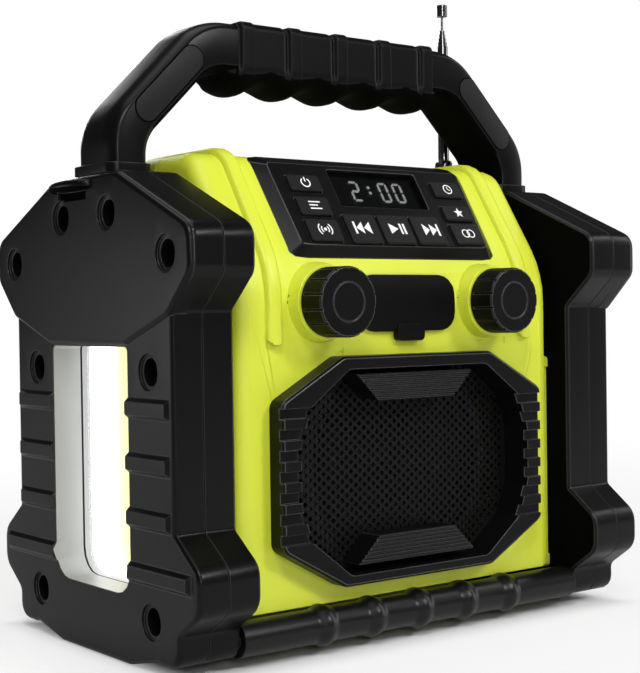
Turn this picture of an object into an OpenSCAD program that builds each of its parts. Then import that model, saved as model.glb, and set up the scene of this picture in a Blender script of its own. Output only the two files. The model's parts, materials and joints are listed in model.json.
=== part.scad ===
// Rugged jobsite radio: a hard yellow body between two black end frames, with a carrying handle,
// a slanted control panel, a round loudspeaker behind a grille, a side lamp and a rod antenna.
// +X is the radio's right as seen from the front, -Y is the front, +Z is up, and Z = 0 is the ground.

/* [Overall] */
// Width over the faces of the two end frames
overall_w = 244; // [240:1:252]
// Height of the end frames
frame_h = 194; // [190:1:198]
// Running gap left along every visible joint line
seam_gap = 0.25; // [0.15:0.05:0.3]

/* [End frames] */
// Thickness of one end frame
frame_t = 29.6; // [28:0.2:31]
// Thickness of the outer half of a frame, up to the joint line
frame_outer_t = 15.2; // [14:0.2:16]
// Half length of the flat on top of the frame
frame_top_y = 26; // [25:0.5:28]
// How far the corner bumpers reach from the middle plane
bumper_y = 80; // [78:0.5:82]
// How far the straight posts reach from the middle plane
post_y = 64.4; // [63:0.2:66]
// Half width of the window between the posts
window_y = 31; // [29:0.5:33]
// Height of the upper edge of the window
window_top = 124.5; // [122:0.5:126]
// Height of the lower edge of the window
window_bottom = 27.3; // [25:0.1:30]
// Corner radius at the bottom of the window
window_r = 11; // [8:0.5:12]
// Radius rolled along the outer edges of the frame
frame_edge_r = 2; // [1.5:0.25:2.5]
// How far the upper bumper plate and the grip ridges stand out of the posts
plate_out = 1.7; // [1:0.1:2.2]
// Wall of the frame mouldings
frame_wall = 3; // [2.5:0.25:3.5]
// Height of one ridge on the posts
ridge_h = 8; // [6:0.5:10]
// Distance between the ridges
ridge_pitch = 21.2; // [19:0.2:22]
// Radius of the mouth of a screw recess
screw_mouth_r = 7.1; // [6.5:0.1:7.5]
// Radius of the deep part of a screw recess
screw_well_r = 5.3; // [5:0.1:5.6]
// Radius of a screw head
screw_head_r = 4.2; // [3.8:0.1:4.6]
// Radius of a screw shank
screw_r = 1.7; // [1.5:0.05:1.9]

/* [Body] */
// Width of the body between the end frames
body_w = 175; // [170:1:177]
// Depth of the body
body_d = 116; // [112:1:120]
// Height of the top of the body
body_top = 203; // [200:0.5:206]
// Height of the underside of the body
body_bottom = 18.5; // [18:0.25:20]
// Height at which the front turns back into the slant
bend_z = 153.8; // [152:0.2:155]
// Slant of the upper front, from the vertical, in degrees
slant = 33; // [31:0.5:35]
// Wall of the body shells
wall = 2.5; // [2.2:0.1:2.8]
// Radius rolled along the sides of the body
body_edge_r = 6.5; // [5:0.5:6.5]
// Distance of each raised rib from the middle plane
rib_x = 69.6; // [69:0.2:71]
// Width of a rib
rib_w = 7.6; // [6:0.2:9]
// Height of a rib over the body
rib_out = 2.8; // [2:0.2:3.4]
// Height at which the ribs end on the front
rib_end_z = 124; // [121:0.5:128]

/* [Control panel] */
// Distance along the slant from the bend to the lower edge of the panel face
panel_start = 10.8; // [10:0.2:12]
// Height of the panel face over the slant
panel_out = 3.2; // [2.6:0.1:3.8]
// Wall of the panel moulding
panel_wall = 2.4; // [2:0.1:2.8]
// How far the buttons stand out of the panel face
button_out = 1.6; // [1.2:0.1:2]
// Travel of a button
button_travel = 0.8; // [0.5:0.1:0.9]
// Clearance around a button
button_gap = 0.25; // [0.2:0.05:0.35]

/* [Knobs] */
// Distance of each knob from the middle plane
knob_x = 46; // [45:0.5:48]
// Height of the knob axes
knob_z = 141; // [140:0.5:142]
// Radius of a knob
knob_r = 14.2; // [13:0.1:15]
// Length of a knob
knob_len = 13.2; // [11:0.2:15]
// Height of the collar under a knob, over the front
collar_out = 5.7; // [5:0.1:6.5]
// Grooves round a knob
knob_grooves = 14; // [10:1:18]
// Radius of the knob shafts
shaft_r = 3; // [2.8:0.05:3.1]

/* [Loudspeaker] */
// Height of the middle of the loudspeaker
speaker_z = 72.4; // [72:0.2:73]
// How far the bezel stands out of the front
bezel_out = 9; // [8:0.25:10]
// Half width of the bezel over its side blocks
bezel_x = 72.2; // [72:0.1:73]
// Half height of the bezel
bezel_z = 46.7; // [46.5:0.1:47.5]
// Depth of the grille plate behind the front face
grille_depth = 6; // [5:0.25:7]
// Distance between neighbouring holes in a row of the grille
hole_pitch = 6; // [5.5:0.25:9]
// Width of one square hole of the grille
hole_w = 2.6; // [2.2:0.1:2.8]
// Radius of the loudspeaker's flange
flange_r = 51; // [49:0.5:53]

/* [Handle] */
// Height of the handle over the end frames, under its bands
handle_rise = 66.5; // [62:0.5:72]
// Thickness of the handle legs
leg_t = 18.5; // [17:0.5:20]
// Depth of the handle, front to back
handle_d = 31; // [28:1:32]
// Thickness of the handle at its top
handle_mid_t = 22; // [20:0.5:24]
// Length of the soft grip
grip_len = 110; // [104:2:114]
// Distance between the finger rests of the grip
finger_pitch = 25.5; // [24:0.25:26]
// How far a finger rest hangs below the grip
finger_drop = 3.7; // [2:0.1:4.5]

/* [Bottom bars] */
// Distance of each bar from the middle plane
bar_y = 61.5; // [60:0.5:63]
// Height of the bar axes
bar_z = 11.2; // [10:0.2:12]
// Radius of a bar
bar_r = 7.1; // [6.5:0.1:7.5]
// Height of a ring over the bar
ring_out = 1.6; // [1:0.1:2]
// Distance between the rings
ring_pitch = 25.6; // [24:0.2:27]
// Length of one ring
ring_len = 11; // [8:0.5:14]

/* [Lamp] */
// Half width of the lit strip
lamp_strip_y = 17; // [14:0.5:20]
// Thickness of the white tray round the strip
lamp_tray_t = 10.8; // [9:0.2:11.2]
// Depth of the strip behind the face of the tray
lamp_deep = 5.7; // [4:0.1:7]
// Corner radius of the lit strip
lamp_strip_r = 9.5; // [6:0.5:11]
// Thickness of the clear lens
lens_t = 1.2; // [1:0.1:1.5]

/* [Antenna] */
// Radius of the antenna's outer tube
mast_r = 2.7; // [2.5:0.1:2.8]
// Wall of the antenna tubes
tube_wall = 0.3; // [0.25:0.05:0.3]
// Height of the tilting pin over the end frames
pivot_rise = 16; // [15:0.25:18]
// Travel of each tube out of the one that holds it
mast_stroke = 46; // [30:1:48]

/* [Hidden] */

YELLOW = "#d4e23c";
BLACK = "#222222";
SOFT = "#1b1b1b";
STEEL = "#8c8c8c";
WHITE = "#f2f2ee";
GREEN = "#1d5a3a";

eps = 0.01;
corner_steps = 4;
edge_steps = 3;
face_x = overall_w/2;
post_face_x = face_x - plate_out;
inner_x = face_x - frame_t;
seam_x = face_x - frame_outer_t;
body_x = body_w/2;
side_gap = inner_x - body_x;
front_y = -body_d/2;
handle_top = frame_h + handle_rise;
pivot_z = frame_h + pivot_rise;
ridge_z = [for (i = [0:3]) window_bottom + 10.1 + i*ridge_pitch];
// Screw axes through a frame: [distance from the middle plane, height]
screw_spots = [[19, frame_h - 16.7], [62.8, frame_h - 34.3], [46.3, window_top - 9.4], [45.9, 19.6]];

// ---- outlines and skins ----------------------------------------------------------------------

function unit(v) = v/norm(v);
function left_of(v) = [-v[1], v[0]];
function cross2(a, b) = a[0]*b[1] - a[1]*b[0];

// Points of the arc of radius b[2] that rounds the corner b between a and c
function fillet(a, b, c, n) =
    let (p = [b[0], b[1]], u = unit([b[0] - a[0], b[1] - a[1]]), v = unit([c[0] - b[0], c[1] - b[1]]),
         turn = atan2(cross2(u, v), u*v), r = b[2], side = turn >= 0 ? 1 : -1, out = -side*left_of(u))
    r == 0 || abs(turn) < 1 ? [p] :
    let (m = p - u*r*tan(abs(turn)/2) - out*r, start = atan2(out[1], out[0]))
    [for (i = [0:n]) m + r*[cos(start + turn*i/n), sin(start + turn*i/n)]];

// A closed outline from corners [x, y, radius]
function rounded(c, n = corner_steps) =
    [for (i = [0:len(c) - 1]) each fillet(c[(i + len(c) - 1)%len(c)], c[i], c[(i + 1)%len(c)], n)];

// The corners of a rectangle from [x0, y0] to [x1, y1], all of radius r
function rect(x0, y0, x1, y1, r) = [[x0, y0, r], [x1, y0, r], [x1, y1, r], [x0, y1, r]];

// The corners of a right half and their mirror images, as one closed list
function both_sides(h) = concat(h, [for (i = [len(h) - 1:-1:0]) [-h[i][0], h[i][1], h[i][2]]]);

// An anticlockwise outline moved inwards by d along its mitres
function inset(p, d) =
    let (n = len(p))
    [for (i = [0:n - 1])
        let (n1 = left_of(unit(p[i] - p[(i + n - 1)%n])), n2 = left_of(unit(p[(i + 1)%n] - p[i])))
        p[i] + d*(n1 + n2)/(1 + n1*n2)];

// Heights and insets of an edge rolled through a quarter circle that ends at height z
function roll(z, r, dir) =
    [for (i = [0:edge_steps]) let (a = 90*i/edge_steps) [z - dir*r*(1 - sin(a)), r*(1 - cos(a))]];
function reversed(list) = [for (i = [len(list) - 1:-1:0]) list[i]];
function rolled_both(z0, z1, r) = concat(reversed(roll(z0, r, -1)), roll(z1, r, 1));

// A closed skin over rings with equal numbers of points, from the lowest ring to the highest
module skin(rings) {
    n = len(rings[0]);
    k = len(rings);
    polyhedron(points = [for (r = rings) each r],
        faces = concat([[for (i = [0:n - 1]) i]], [[for (i = [n - 1:-1:0]) (k - 1)*n + i]],
            [for (j = [0:k - 2]) for (i = [0:n - 1])
                [j*n + i, (j + 1)*n + i, (j + 1)*n + (i + 1)%n, j*n + (i + 1)%n]]));
}

// A skin over one outline, set in by levels = [[height, inset], ...]
module rolled_slab(outline, levels) {
    skin([for (l = levels) [for (p = inset(outline, l[1])) [p[0], p[1], l[0]]]]);
}

module facing_front(y = 0) translate([0, y, 0]) rotate([90, 0, 0]) children();
module along_x(x = 0) translate([x, 0, 0]) rotate([90, 0, 90]) children();
module both_x() { children(); mirror([1, 0, 0]) children(); }
module both_y() { children(); mirror([0, 1, 0]) children(); }
// The same slab, made too long and planed flat at both ends
module planed_slab(outline, profile) {
    n = len(profile);
    low = profile[0];
    high = profile[n - 1];
    longer = concat([low + (low - profile[1])/2], [for (i = [1:n - 2]) profile[i]],
        [high + (high - profile[n - 2])/2]);
    intersection() {
        rolled_slab(outline, longer);
        box([-300, -300, low[0]], [300, 300, high[0]]);
    }
}

module box(a, b) translate(a) cube(b - a);

// ---- end frames ------------------------------------------------------------------------------

foot_y = bar_y + 4.8;
foot_z = 4.2;
lug_low = frame_h - 6;
// Half of the outline, as heights over the ground and under the top
frame_corners = both_sides([[28, 0, 4], [49.5, 4.8, 2], [52, foot_z, 0], [foot_y, foot_z, 7],
    [foot_y - 0.4, 16.5, 4], [bumper_y + 0.5, 27, 9], [bumper_y + 0.5, 42.5, 9], [post_y, 54.5, 2],
    [post_y, frame_h - 56, 2], [bumper_y, frame_h - 41.6, 7], [bumper_y, frame_h - 24, 8],
    [frame_top_y, frame_h, 9]]);
frame_outline = rounded(frame_corners);
pocket_outline = rounded(frame_corners, 1);
// The raised plate stays this far inside the outline
plate_in = 0.6;
plate_outline = rounded(both_sides([[window_y + 0.5, window_top + 0.7, 4],
    [post_y - plate_in, frame_h - 57.4, 6], [bumper_y - plate_in, frame_h - 41.4, 7],
    [bumper_y - plate_in, frame_h - 24.3, 8], [frame_top_y - 0.2, frame_h - plate_in, 9]]));

module window_shape(grow = 0) {
    r = window_r;
    polygon(rounded([[-window_y - grow, window_bottom - grow, r], [window_y + grow, window_bottom - grow, r],
        [window_y + grow, window_top + grow, 2], [-window_y - grow, window_top + grow, 2]]));
}

// The cavity of a frame half between two distances from the middle plane of the radio
module frame_pocket(x0, x1) difference() {
    along_x(x0) linear_extrude(x1 - x0) polygon(inset(pocket_outline, frame_wall));
    along_x(x0 - 1) linear_extrude(x1 - x0 + 2) window_shape(frame_wall);
    both_y() for (s = screw_spots)
        along_x(x0 - 1) translate(s) cylinder(r = screw_mouth_r + 1.6, h = x1 - x0 + 2, $fn = 32);
}

// One grip ridge on a post, from the window to y_end, with sloping sides that start in the post
module ridge(z, y_end) {
    sink = 1.5;
    run = plate_out*0.9;
    grow = sink*0.9;
    half = ridge_h/2;
    along_x() skin([
        for (l = [[post_face_x - sink, grow], [face_x, -run]])
            [[window_y - 2, z - half - l[1], l[0]], [y_end + l[1], z - half - l[1], l[0]],
             [y_end + l[1], z + half + l[1], l[0]], [window_y - 2, z + half + l[1], l[0]]]]);
}

// A rounded ledge for a strap, high on the rear of the outer face, over a hollow for the fingers
lug_y = 8.5;
lug_half = 15;
lug_out = 6.5;
module strap_lug() translate([face_x - 1, lug_y, lug_low]) linear_extrude(3.2)
    polygon([for (a = [-90:15:90]) [(lug_out + 1)*cos(a), lug_half*sin(a)]]);
module strap_hollow() translate([face_x, lug_y, lug_low - 4]) linear_extrude(4)
    polygon([for (a = [0:20:340]) [2.6*cos(a), (lug_half - 3)*sin(a)]]);

// Screw heads sit on the floor of their wells, this far from the middle plane
well_floor_x = seam_x + 4;
mouth_deep = 1.4;
function face_at(s) = s[1] > window_top ? face_x : post_face_x;

module frame_outer_half() difference() {
    union() {
        along_x() planed_slab(frame_outline,
            concat([[seam_x + seam_gap, 0]], roll(post_face_x, frame_edge_r, 1)));
        along_x() planed_slab(plate_outline,
            concat([[post_face_x - 6, 0]], roll(face_x, frame_edge_r, 1)));
        both_y() for (i = [0:3]) ridge(ridge_z[i], i == 0 ? bumper_y - 5 : post_y - 2.6);
        strap_lug();
    }
    frame_pocket(seam_x, post_face_x - frame_wall);
    along_x(seam_x - 1) linear_extrude(frame_outer_t + 3) window_shape();
    both_y() for (s = screw_spots) {
        along_x(face_at(s) - mouth_deep) translate(s) cylinder(r = screw_mouth_r, h = 4, $fn = 64);
        along_x(well_floor_x) translate(s) cylinder(r = screw_well_r, h = frame_outer_t, $fn = 48);
        along_x(seam_x - 1) translate(s) cylinder(r = screw_r + 0.3, h = frame_outer_t, $fn = 24);
    }
    strap_hollow();
    handle_tongue(0.15);
}

module frame_inner_half() difference() {
    along_x() planed_slab(frame_outline, [[inner_x, 1.2], [inner_x + 1.2, 0], [seam_x, 0]]);
    frame_pocket(inner_x + frame_wall + 4, seam_x + 1);
    along_x(inner_x - 1) linear_extrude(frame_t) window_shape();
    both_y() for (i = [0:3])
        along_x(i == 0 ? inner_x - 1 : inner_x + 3) translate(screw_spots[i])
            cylinder(r = screw_r + 0.1, h = frame_t, $fn = 24);
    both_y() along_x(inner_x - 1) translate([bar_y, bar_z])
        cylinder(r = peg_r + 0.1, h = peg_len + 1.3, $fn = 48);
    handle_tongue(0.15);
}

module right_frame_outer() color(BLACK) frame_outer_half();
module left_frame_outer() color(BLACK) mirror([1, 0, 0]) frame_outer_half();
module left_frame_inner() color(BLACK) mirror([1, 0, 0]) frame_inner_half();

// The inner half on the right also carries the antenna, on a flat seat that is open to the inside
module right_frame_inner() color(BLACK) difference() {
    frame_inner_half();
    translate([antenna_x, antenna_y, seat_z]) cylinder(r = swivel_r + 0.3, h = 20, $fn = 48);
    box([inner_x - 1, antenna_y - swivel_r - 0.3, seat_z],
        [antenna_x, antenna_y + swivel_r + 0.3, frame_h + 1]);
    translate([antenna_x, antenna_y, seat_z - stem_len - 0.3])
        cylinder(r = stem_r + 0.05, h = 20, $fn = 48);
}

// The screws of the uppermost pair are long and reach into the body
long_screw = well_floor_x - body_x + 6;
short_screw = 11;
module frame_screws() color(STEEL) both_x() both_y() for (i = [0:3]) {
    long = i == 0 ? long_screw : short_screw;
    along_x(well_floor_x) translate(screw_spots[i]) {
        difference() {
            cylinder(r = screw_head_r, h = 2.4, $fn = 32);
            for (a = [0, 90]) rotate(a) translate([-2.2, -0.45, 1]) cube([4.4, 0.9, 2]);
        }
        translate([0, 0, -long]) cylinder(r = screw_r, h = long + eps, $fn = 24);
    }
}

// ---- bottom bars -----------------------------------------------------------------------------

// A bar stops just short of the frames, and a thinner peg at each end plugs into them
bar_half = inner_x - 0.4;
peg_r = 3.5;
peg_len = 5.5;
peg_end = inner_x + peg_len;
ring_points = [for (i = [-2:2]) for (d = [-4:4])
    [bar_r + ring_out*pow(cos(22.5*d), 2), i*ring_pitch + d*ring_len/8]];

module bottom_bar() translate([0, bar_y, bar_z]) rotate([0, 90, 0]) rotate_extrude($fn = 64)
    polygon(concat([[0, -peg_end], [peg_r, -peg_end], [peg_r, -bar_half], [bar_r, -bar_half]],
        ring_points, [[bar_r, bar_half], [peg_r, bar_half], [peg_r, peg_end], [0, peg_end]]));

module bottom_bar_front() color(SOFT) mirror([0, 1, 0]) bottom_bar();
module bottom_bar_rear() color(SOFT) bottom_bar();

// ---- body shells -----------------------------------------------------------------------------

slant_top_y = front_y + (body_top - bend_z)*tan(slant);
body_outline = rounded([[front_y, body_bottom, 0], [-front_y, body_bottom, 0], [-front_y, body_top, 28],
                        [slant_top_y, body_top, 14], [front_y, bend_z, 45]]);
rib_outline = inset(body_outline, -rib_out);
// Screw towers inside the shells, as [x, z]
towers = [[76, 30], [76, 188]];
tower_r = 4.4;

module body_solid() along_x() rolled_slab(body_outline, rolled_both(-body_x, body_x, body_edge_r));
module body_cavity() along_x() rolled_slab(inset(body_outline, wall),
    [[wall - body_x, body_edge_r - wall], [body_edge_r - body_x, 0],
     [body_x - body_edge_r, 0], [body_x - wall, body_edge_r - wall]]);

// A raised rib over the front half (dir -1) or the rear half (dir 1), ending in a half round
module rib(dir) intersection() {
    along_x(rib_x) rolled_slab(rib_outline, rolled_both(-rib_w/2, rib_w/2, rib_w*0.32));
    scale([1, dir, 1]) union() {
        box([0, seam_gap/2, rib_end_z + rib_w/2], [body_x, body_d, body_top + 10]);
        translate([rib_x, 0, rib_end_z + rib_w/2]) rotate([-90, 0, 0])
            cylinder(r = rib_w/2, h = body_d, $fn = 48);
    }
}

// Half of the panel's foot and half of its face, along the slant, and the depth of the foot
panel_half = [[50, -3.9], [54.5, -3.4], [57, -1.4], [58.3, 38], [58.4, 45.5], [56.8, 48.6], [52, 49.8]];
face_half = [[47.5, 0], [51, 0.5], [51.8, 1.8], [53.2, 34], [53.4, 40.5], [52.6, 41.6], [51.2, 41.9]];
panel_sink = [3.95, 3.9, 3.8, 3.5, 4.7, 5.7, 6.3];
function mirrored(h) = concat(h, [for (p = reversed(h)) [-p[0], p[1]]]);

module on_panel() translate([0, front_y, bend_z]) rotate([90 - slant, 0, 0])
    translate([0, panel_start, panel_out]) children();

module knob_places() both_x() translate([knob_x, front_y, knob_z]) rotate([90, 0, 0]) children();

// Boss between the side of a shell and the end frame, with a root inside the shell
module spacer() along_x(body_x - 7) translate(screw_spots[0]) cylinder(r = 5, h = side_gap + 7, $fn = 48);

module half_body(dir) {
    intersection() {
        body_solid();
        scale([1, dir, 1]) box([-body_x - 1, seam_gap/2, 0], [body_x + 1, body_d, body_top + 1]);
    }
    both_x() rib(dir);
}

module tower_posts(dir) both_x() for (t = towers) intersection() {
    scale([1, dir, 1]) translate([t[0], seam_gap/2, t[1]]) rotate([-90, 0, 0])
        cylinder(r = tower_r, h = body_d/2, $fn = 32);
    body_solid();
}

collar_r = knob_r + 2.2;
module front_shell() color(YELLOW) difference() {
    union() {
        difference() {
            half_body(-1);
            body_cavity();
        }
        knob_places() translate([0, 0, -12]) {
            cylinder(r = collar_r, h = 12, $fn = 64);
            translate([0, 0, 12 - eps])
                cylinder(r1 = collar_r, r2 = knob_r + 1, h = collar_out + eps, $fn = 64);
        }
        tower_posts(-1);
        both_x() mirror([0, 1, 0]) spacer();
    }
    knob_places() translate([0, 0, -20]) {
        cylinder(r = knob_r - 1.3, h = 20 + collar_out - wall, $fn = 64);
        cylinder(r = bush_r + 0.1, h = 40, $fn = 48);
    }
    facing_front(front_y + 12) linear_extrude(20) polygon(inset(sleeve_outline, -0.15));
    on_panel() translate([0, 0, -16]) linear_extrude(30) polygon(inset(mirrored(panel_half), -0.15));
    facing_front(front_y + 10) linear_extrude(20) port_shape(port_x, 0);
    both_x() for (t = towers) translate([t[0], 1, t[1]]) rotate([90, 0, 0])
        cylinder(r = screw_r, h = 14, $fn = 24);
    both_x() mirror([0, 1, 0]) spacer_bore();
}
module spacer_bore() along_x(body_x - 8) translate(screw_spots[0])
    cylinder(r = screw_r, h = side_gap + 9, $fn = 24);

// Opening behind the battery cover, and the cover that overlaps it
hatch_x = 40;
hatch_z = [body_bottom + 9.5, body_bottom + 35.5];
hatch_lap = 9;
hatch_screw = [hatch_x + hatch_lap/2, (hatch_z[0] + hatch_z[1])/2];

module rear_shell() color(YELLOW) difference() {
    union() {
        difference() {
            half_body(1);
            body_cavity();
        }
        tower_posts(1);
        both_x() for (z = board_z) translate([board_x - 6, board_y, z]) rotate([-90, 0, 0])
            cylinder(r = 3, h = body_d/2 - board_y - 1, $fn = 24);
        both_x() translate([hatch_screw[0], -front_y - 10, hatch_screw[1]]) rotate([-90, 0, 0])
            cylinder(r = 3.6, h = 9, $fn = 32);
        both_x() spacer();
    }
    both_x() for (t = towers) translate([t[0], 0, t[1]]) rotate([-90, 0, 0]) {
        cylinder(r = screw_r + 0.3, h = body_d, $fn = 24);
        translate([0, 0, 10]) cylinder(r = 3.4, h = body_d, $fn = 32);
    }
    facing_front(-front_y + 1) linear_extrude(6)
        polygon(rounded(rect(-hatch_x, hatch_z[0], hatch_x, hatch_z[1], 3)));
    both_x() facing_front(-front_y + 1) translate(hatch_screw) cylinder(r = screw_r, h = 14, $fn = 24);
    both_x() spacer_bore();
}

module battery_cover() color(BLACK) difference() {
    union() {
        facing_front() rolled_slab(rounded(rect(-hatch_x - hatch_lap, hatch_z[0] - 4, hatch_x + hatch_lap,
            hatch_z[1] + 4, 4)), [[front_y - 1.8, 0.8], [front_y - 1, 0], [front_y, 0]]);
        facing_front(-front_y + 0.5) linear_extrude(wall)
            polygon(rounded(rect(-hatch_x + 0.3, hatch_z[0] + 0.3, hatch_x - 0.3, hatch_z[1] - 0.3, 2.7)));
    }
    both_x() facing_front(-front_y + 5) translate(hatch_screw) cylinder(r = screw_r + 0.3, h = 10, $fn = 24);
}

module shell_screws() color(STEEL) both_x() {
    for (t = towers) translate([t[0], 0, t[1]]) rotate([-90, 0, 0]) {
        translate([0, 0, -12]) cylinder(r = screw_r - 0.05, h = 22 + eps, $fn = 24);
        translate([0, 0, 10]) cylinder(r = 3.1, h = 2, $fn = 32);
    }
    translate([hatch_screw[0], -front_y + 1.8, hatch_screw[1]]) rotate([-90, 0, 0]) {
        translate([0, 0, -11]) cylinder(r = screw_r - 0.05, h = 11 + eps, $fn = 24);
        cylinder(r = 3.1, h = 1.5, $fn = 32);
    }
}

// ---- side boxes and lamp ---------------------------------------------------------------------

box_y = 51;
box_low = 16.6;
box_top = 115;
lamp_box_top = 132;

// A box that fills the space between the body and a frame, with a wider band at each end
module side_slab(top) {
    low = box_low;
    half = [[box_y + 1, low, 2], [box_y + 1, low + 6, 0], [box_y, low + 6, 0],
            [box_y, top - 5, 0], [box_y + 1, top - 5, 0], [box_y + 1, top, 2]];
    along_x(body_x) linear_extrude(side_gap) polygon(rounded(both_sides(half)));
}

module side_box() color(YELLOW) side_slab(box_top);
module lamp_housing() color(YELLOW) mirror([1, 0, 0]) side_slab(lamp_box_top);

module lamp_shape(grow, top) polygon(rounded([[-lamp_strip_y - grow, window_bottom + 2 - grow, lamp_strip_r],
    [lamp_strip_y + grow, window_bottom + 2 - grow, lamp_strip_r],
    [lamp_strip_y + grow, top, 0], [-lamp_strip_y - grow, top, 0]], 8));

module lamp_tray() color(WHITE) difference() {
    along_x(-inner_x - lamp_tray_t) linear_extrude(lamp_tray_t) window_shape(-0.3);
    along_x(-inner_x - lamp_tray_t - 1) linear_extrude(lamp_deep + 1.8) lamp_shape(0, window_top + 1);
}
module lamp_strip() color("#f6ef9a") along_x(-inner_x - lamp_tray_t + lamp_deep) linear_extrude(0.8)
    lamp_shape(-0.1, window_top - 0.5);
module lamp_lens() color("#eef2f2", 0.35) along_x(-inner_x - lamp_tray_t - lens_t) linear_extrude(lens_t)
    window_shape(-0.3);

// ---- handle ----------------------------------------------------------------------------------

leg_out_x = face_x - 5;
leg_in_x = leg_out_x - leg_t;
leg_mid_x = leg_out_x - leg_t/2;
// On the sloping arms x + z is constant: outer_sum outside and inner_sum inside
outer_sum = leg_out_x + frame_h + 22;
inner_sum = outer_sum - 26.5;
core_low = handle_top - handle_mid_t;
handle_half = [[leg_in_x, frame_h, 0], [leg_out_x, frame_h, 0], [leg_out_x, outer_sum - leg_out_x, 28],
               [outer_sum - handle_top, handle_top, 32]];
handle_inside = [[inner_sum - core_low, core_low, 16], [leg_in_x, inner_sum - leg_in_x, 16]];
handle_outline = rounded(concat(both_sides(handle_half),
    [for (p = reversed(handle_inside)) [-p[0], p[1], p[2]]], handle_inside), 5);
handle_edge_r = 5;
handle_seam_y = 9;
grip_wall = 2.6;
band_out = 1;

// The core is thinner by the wall of the grip, all round, inside the grip
module grip_seat(gap) {
    x = grip_len/2 + gap;
    y = handle_d/2 - grip_wall;
    box([-x, -handle_d, handle_top - grip_wall], [x, handle_d, handle_top + 9]);
    box([-x, -handle_d, core_low - 9], [x, handle_d, core_low + grip_wall]);
    both_y() box([-x, y, core_low - 9], [x, handle_d, handle_top + 9]);
}

// Tongue under each leg, held between the halves of the end frame
module handle_tongue(gap) box([leg_mid_x - 5 - gap, -6 - gap, frame_h - 8 - gap],
    [leg_mid_x + 5 + gap, 6 + gap, frame_h + 2]);

module handle_front() color(BLACK) {
    difference() {
        facing_front() rolled_slab(handle_outline,
            concat([[seam_gap - handle_seam_y, 0]], roll(handle_d/2, handle_edge_r, 1)));
        grip_seat(0.1);
        inlay_pair(0.1, 0.1);
    }
    both_x() handle_tongue(0);
}
module handle_rear() color(BLACK) difference() {
    facing_front() rolled_slab(handle_outline,
        concat(reversed(roll(-handle_d/2, handle_edge_r, -1)), [[-handle_seam_y, 0]]));
    grip_seat(0.1);
}

// Soft pads let into the front of the sloping arms
inlay_t = 1.2;
inlay_half = 21.5;
inlay_r = 6.2;
inlay_x = 89;
module inlay_pair(grow, sink) both_x() facing_front(-handle_d/2 + inlay_t + sink)
    linear_extrude(inlay_t + sink*20)
        translate([inlay_x, (outer_sum + inner_sum)/2 - inlay_x + 0.8]) rotate(-45)
            let (x = inlay_half + grow, y = inlay_r + grow) polygon(rounded(rect(-x, -y, x, y, inlay_r), 8));
module handle_inlays() color(SOFT) inlay_pair(0, 0);

// Collar round the foot of each leg
module collar_shape(out, r) let (x = leg_t/2 + out, y = handle_d/2 + out)
    polygon(rounded(rect(-x, -y, x, y, r)));
module handle_collars() color(BLACK) both_x() translate([leg_mid_x, 0, frame_h]) difference() {
    linear_extrude(4.2) collar_shape(1.4, 6);
    translate([0, 0, -1]) linear_extrude(7) collar_shape(0.15, 5);
}

// Soft sleeve with raised bands, and a finger rest under each of them
grip_half = grip_len/2;
function near_band(x) = min([for (i = [-2:2]) abs(x - i*finger_pitch)]);
function band_lift(x) = band_out*max(0, min(1, (5.6 - near_band(x))/2.6));
function finger(x) = abs(x) > 2.5*finger_pitch ? 0 : finger_drop*(1 + cos(360*x/finger_pitch))/2;
band_steps = [-9, -5.6, -3, 0, 3, 5.6, 9];
grip_x = concat([-grip_half], [for (i = [-2:2]) for (d = band_steps) i*finger_pitch + d*0.99], [grip_half]);
function grip_ring(x) =
    let (l = band_lift(x), y = handle_d/2 + 0.5 + l)
    [for (p = rounded(rect(-y, core_low - 0.5 - finger(x), y, handle_top + l, 7), 3)) [p[0], p[1], x]];

module handle_grip() color(SOFT) difference() {
    along_x() skin([for (x = grip_x) grip_ring(x)]);
    box([-grip_len, -handle_d/2 + grip_wall - 0.1, core_low + grip_wall - 0.1],
        [grip_len, handle_d/2 - grip_wall + 0.1, handle_top - grip_wall + 0.1]);
}

// ---- control panel ---------------------------------------------------------------------------

// Buttons as [x, height along the panel, width, height] of each cap
left_x = -38.4;
mid_x = 1.2;
right_x = 42;
cap_w = 16.4;
buttons = [[left_x, 31, cap_w, 8.2], [left_x, 19, cap_w, 9.2], [left_x, 6.7, cap_w, 10.8],
           [mid_x - 18.4, 8, cap_w, 14.8], [mid_x, 8, cap_w, 14.8], [mid_x + 18.4, 8, cap_w, 14.8],
           [right_x, 31.1, cap_w, 8.4], [right_x, 18, cap_w, 8.2], [right_x, 6.6, cap_w, 11]];
display_x = [-22.8, 26.8];
display_s = [20.4, 39.8];
display_deep = 2.6;
board_n = -6.2;
cap_edge = 0.6;
skirt_t = 1.4;
skirt_n = -panel_wall - 0.4 - skirt_t;
skirt_out = 0.7;

// Room behind the panel for the skirts and the display, along the width and along the slant
room_x = [min([for (b = buttons) b[0] - b[2]/2]) - skirt_out - 0.8,
          max([for (b = buttons) b[0] + b[2]/2]) + skirt_out + 0.8];
room_s = [min([for (b = buttons) b[1] - b[3]/2]) - skirt_out - 0.8, display_s[1] + 0.8];

function cap_outline(b, grow) = let (w = b[2]/2 + grow, h = b[3]/2 + grow)
    rounded(rect(b[0] - w, b[1] - h, b[0] + w, b[1] + h, 1.2), 3);
module display_shape(grow) polygon(rounded(rect(display_x[0] - grow, display_s[0] - grow,
    display_x[1] + grow, display_s[1] + grow, 1), 2));

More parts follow.
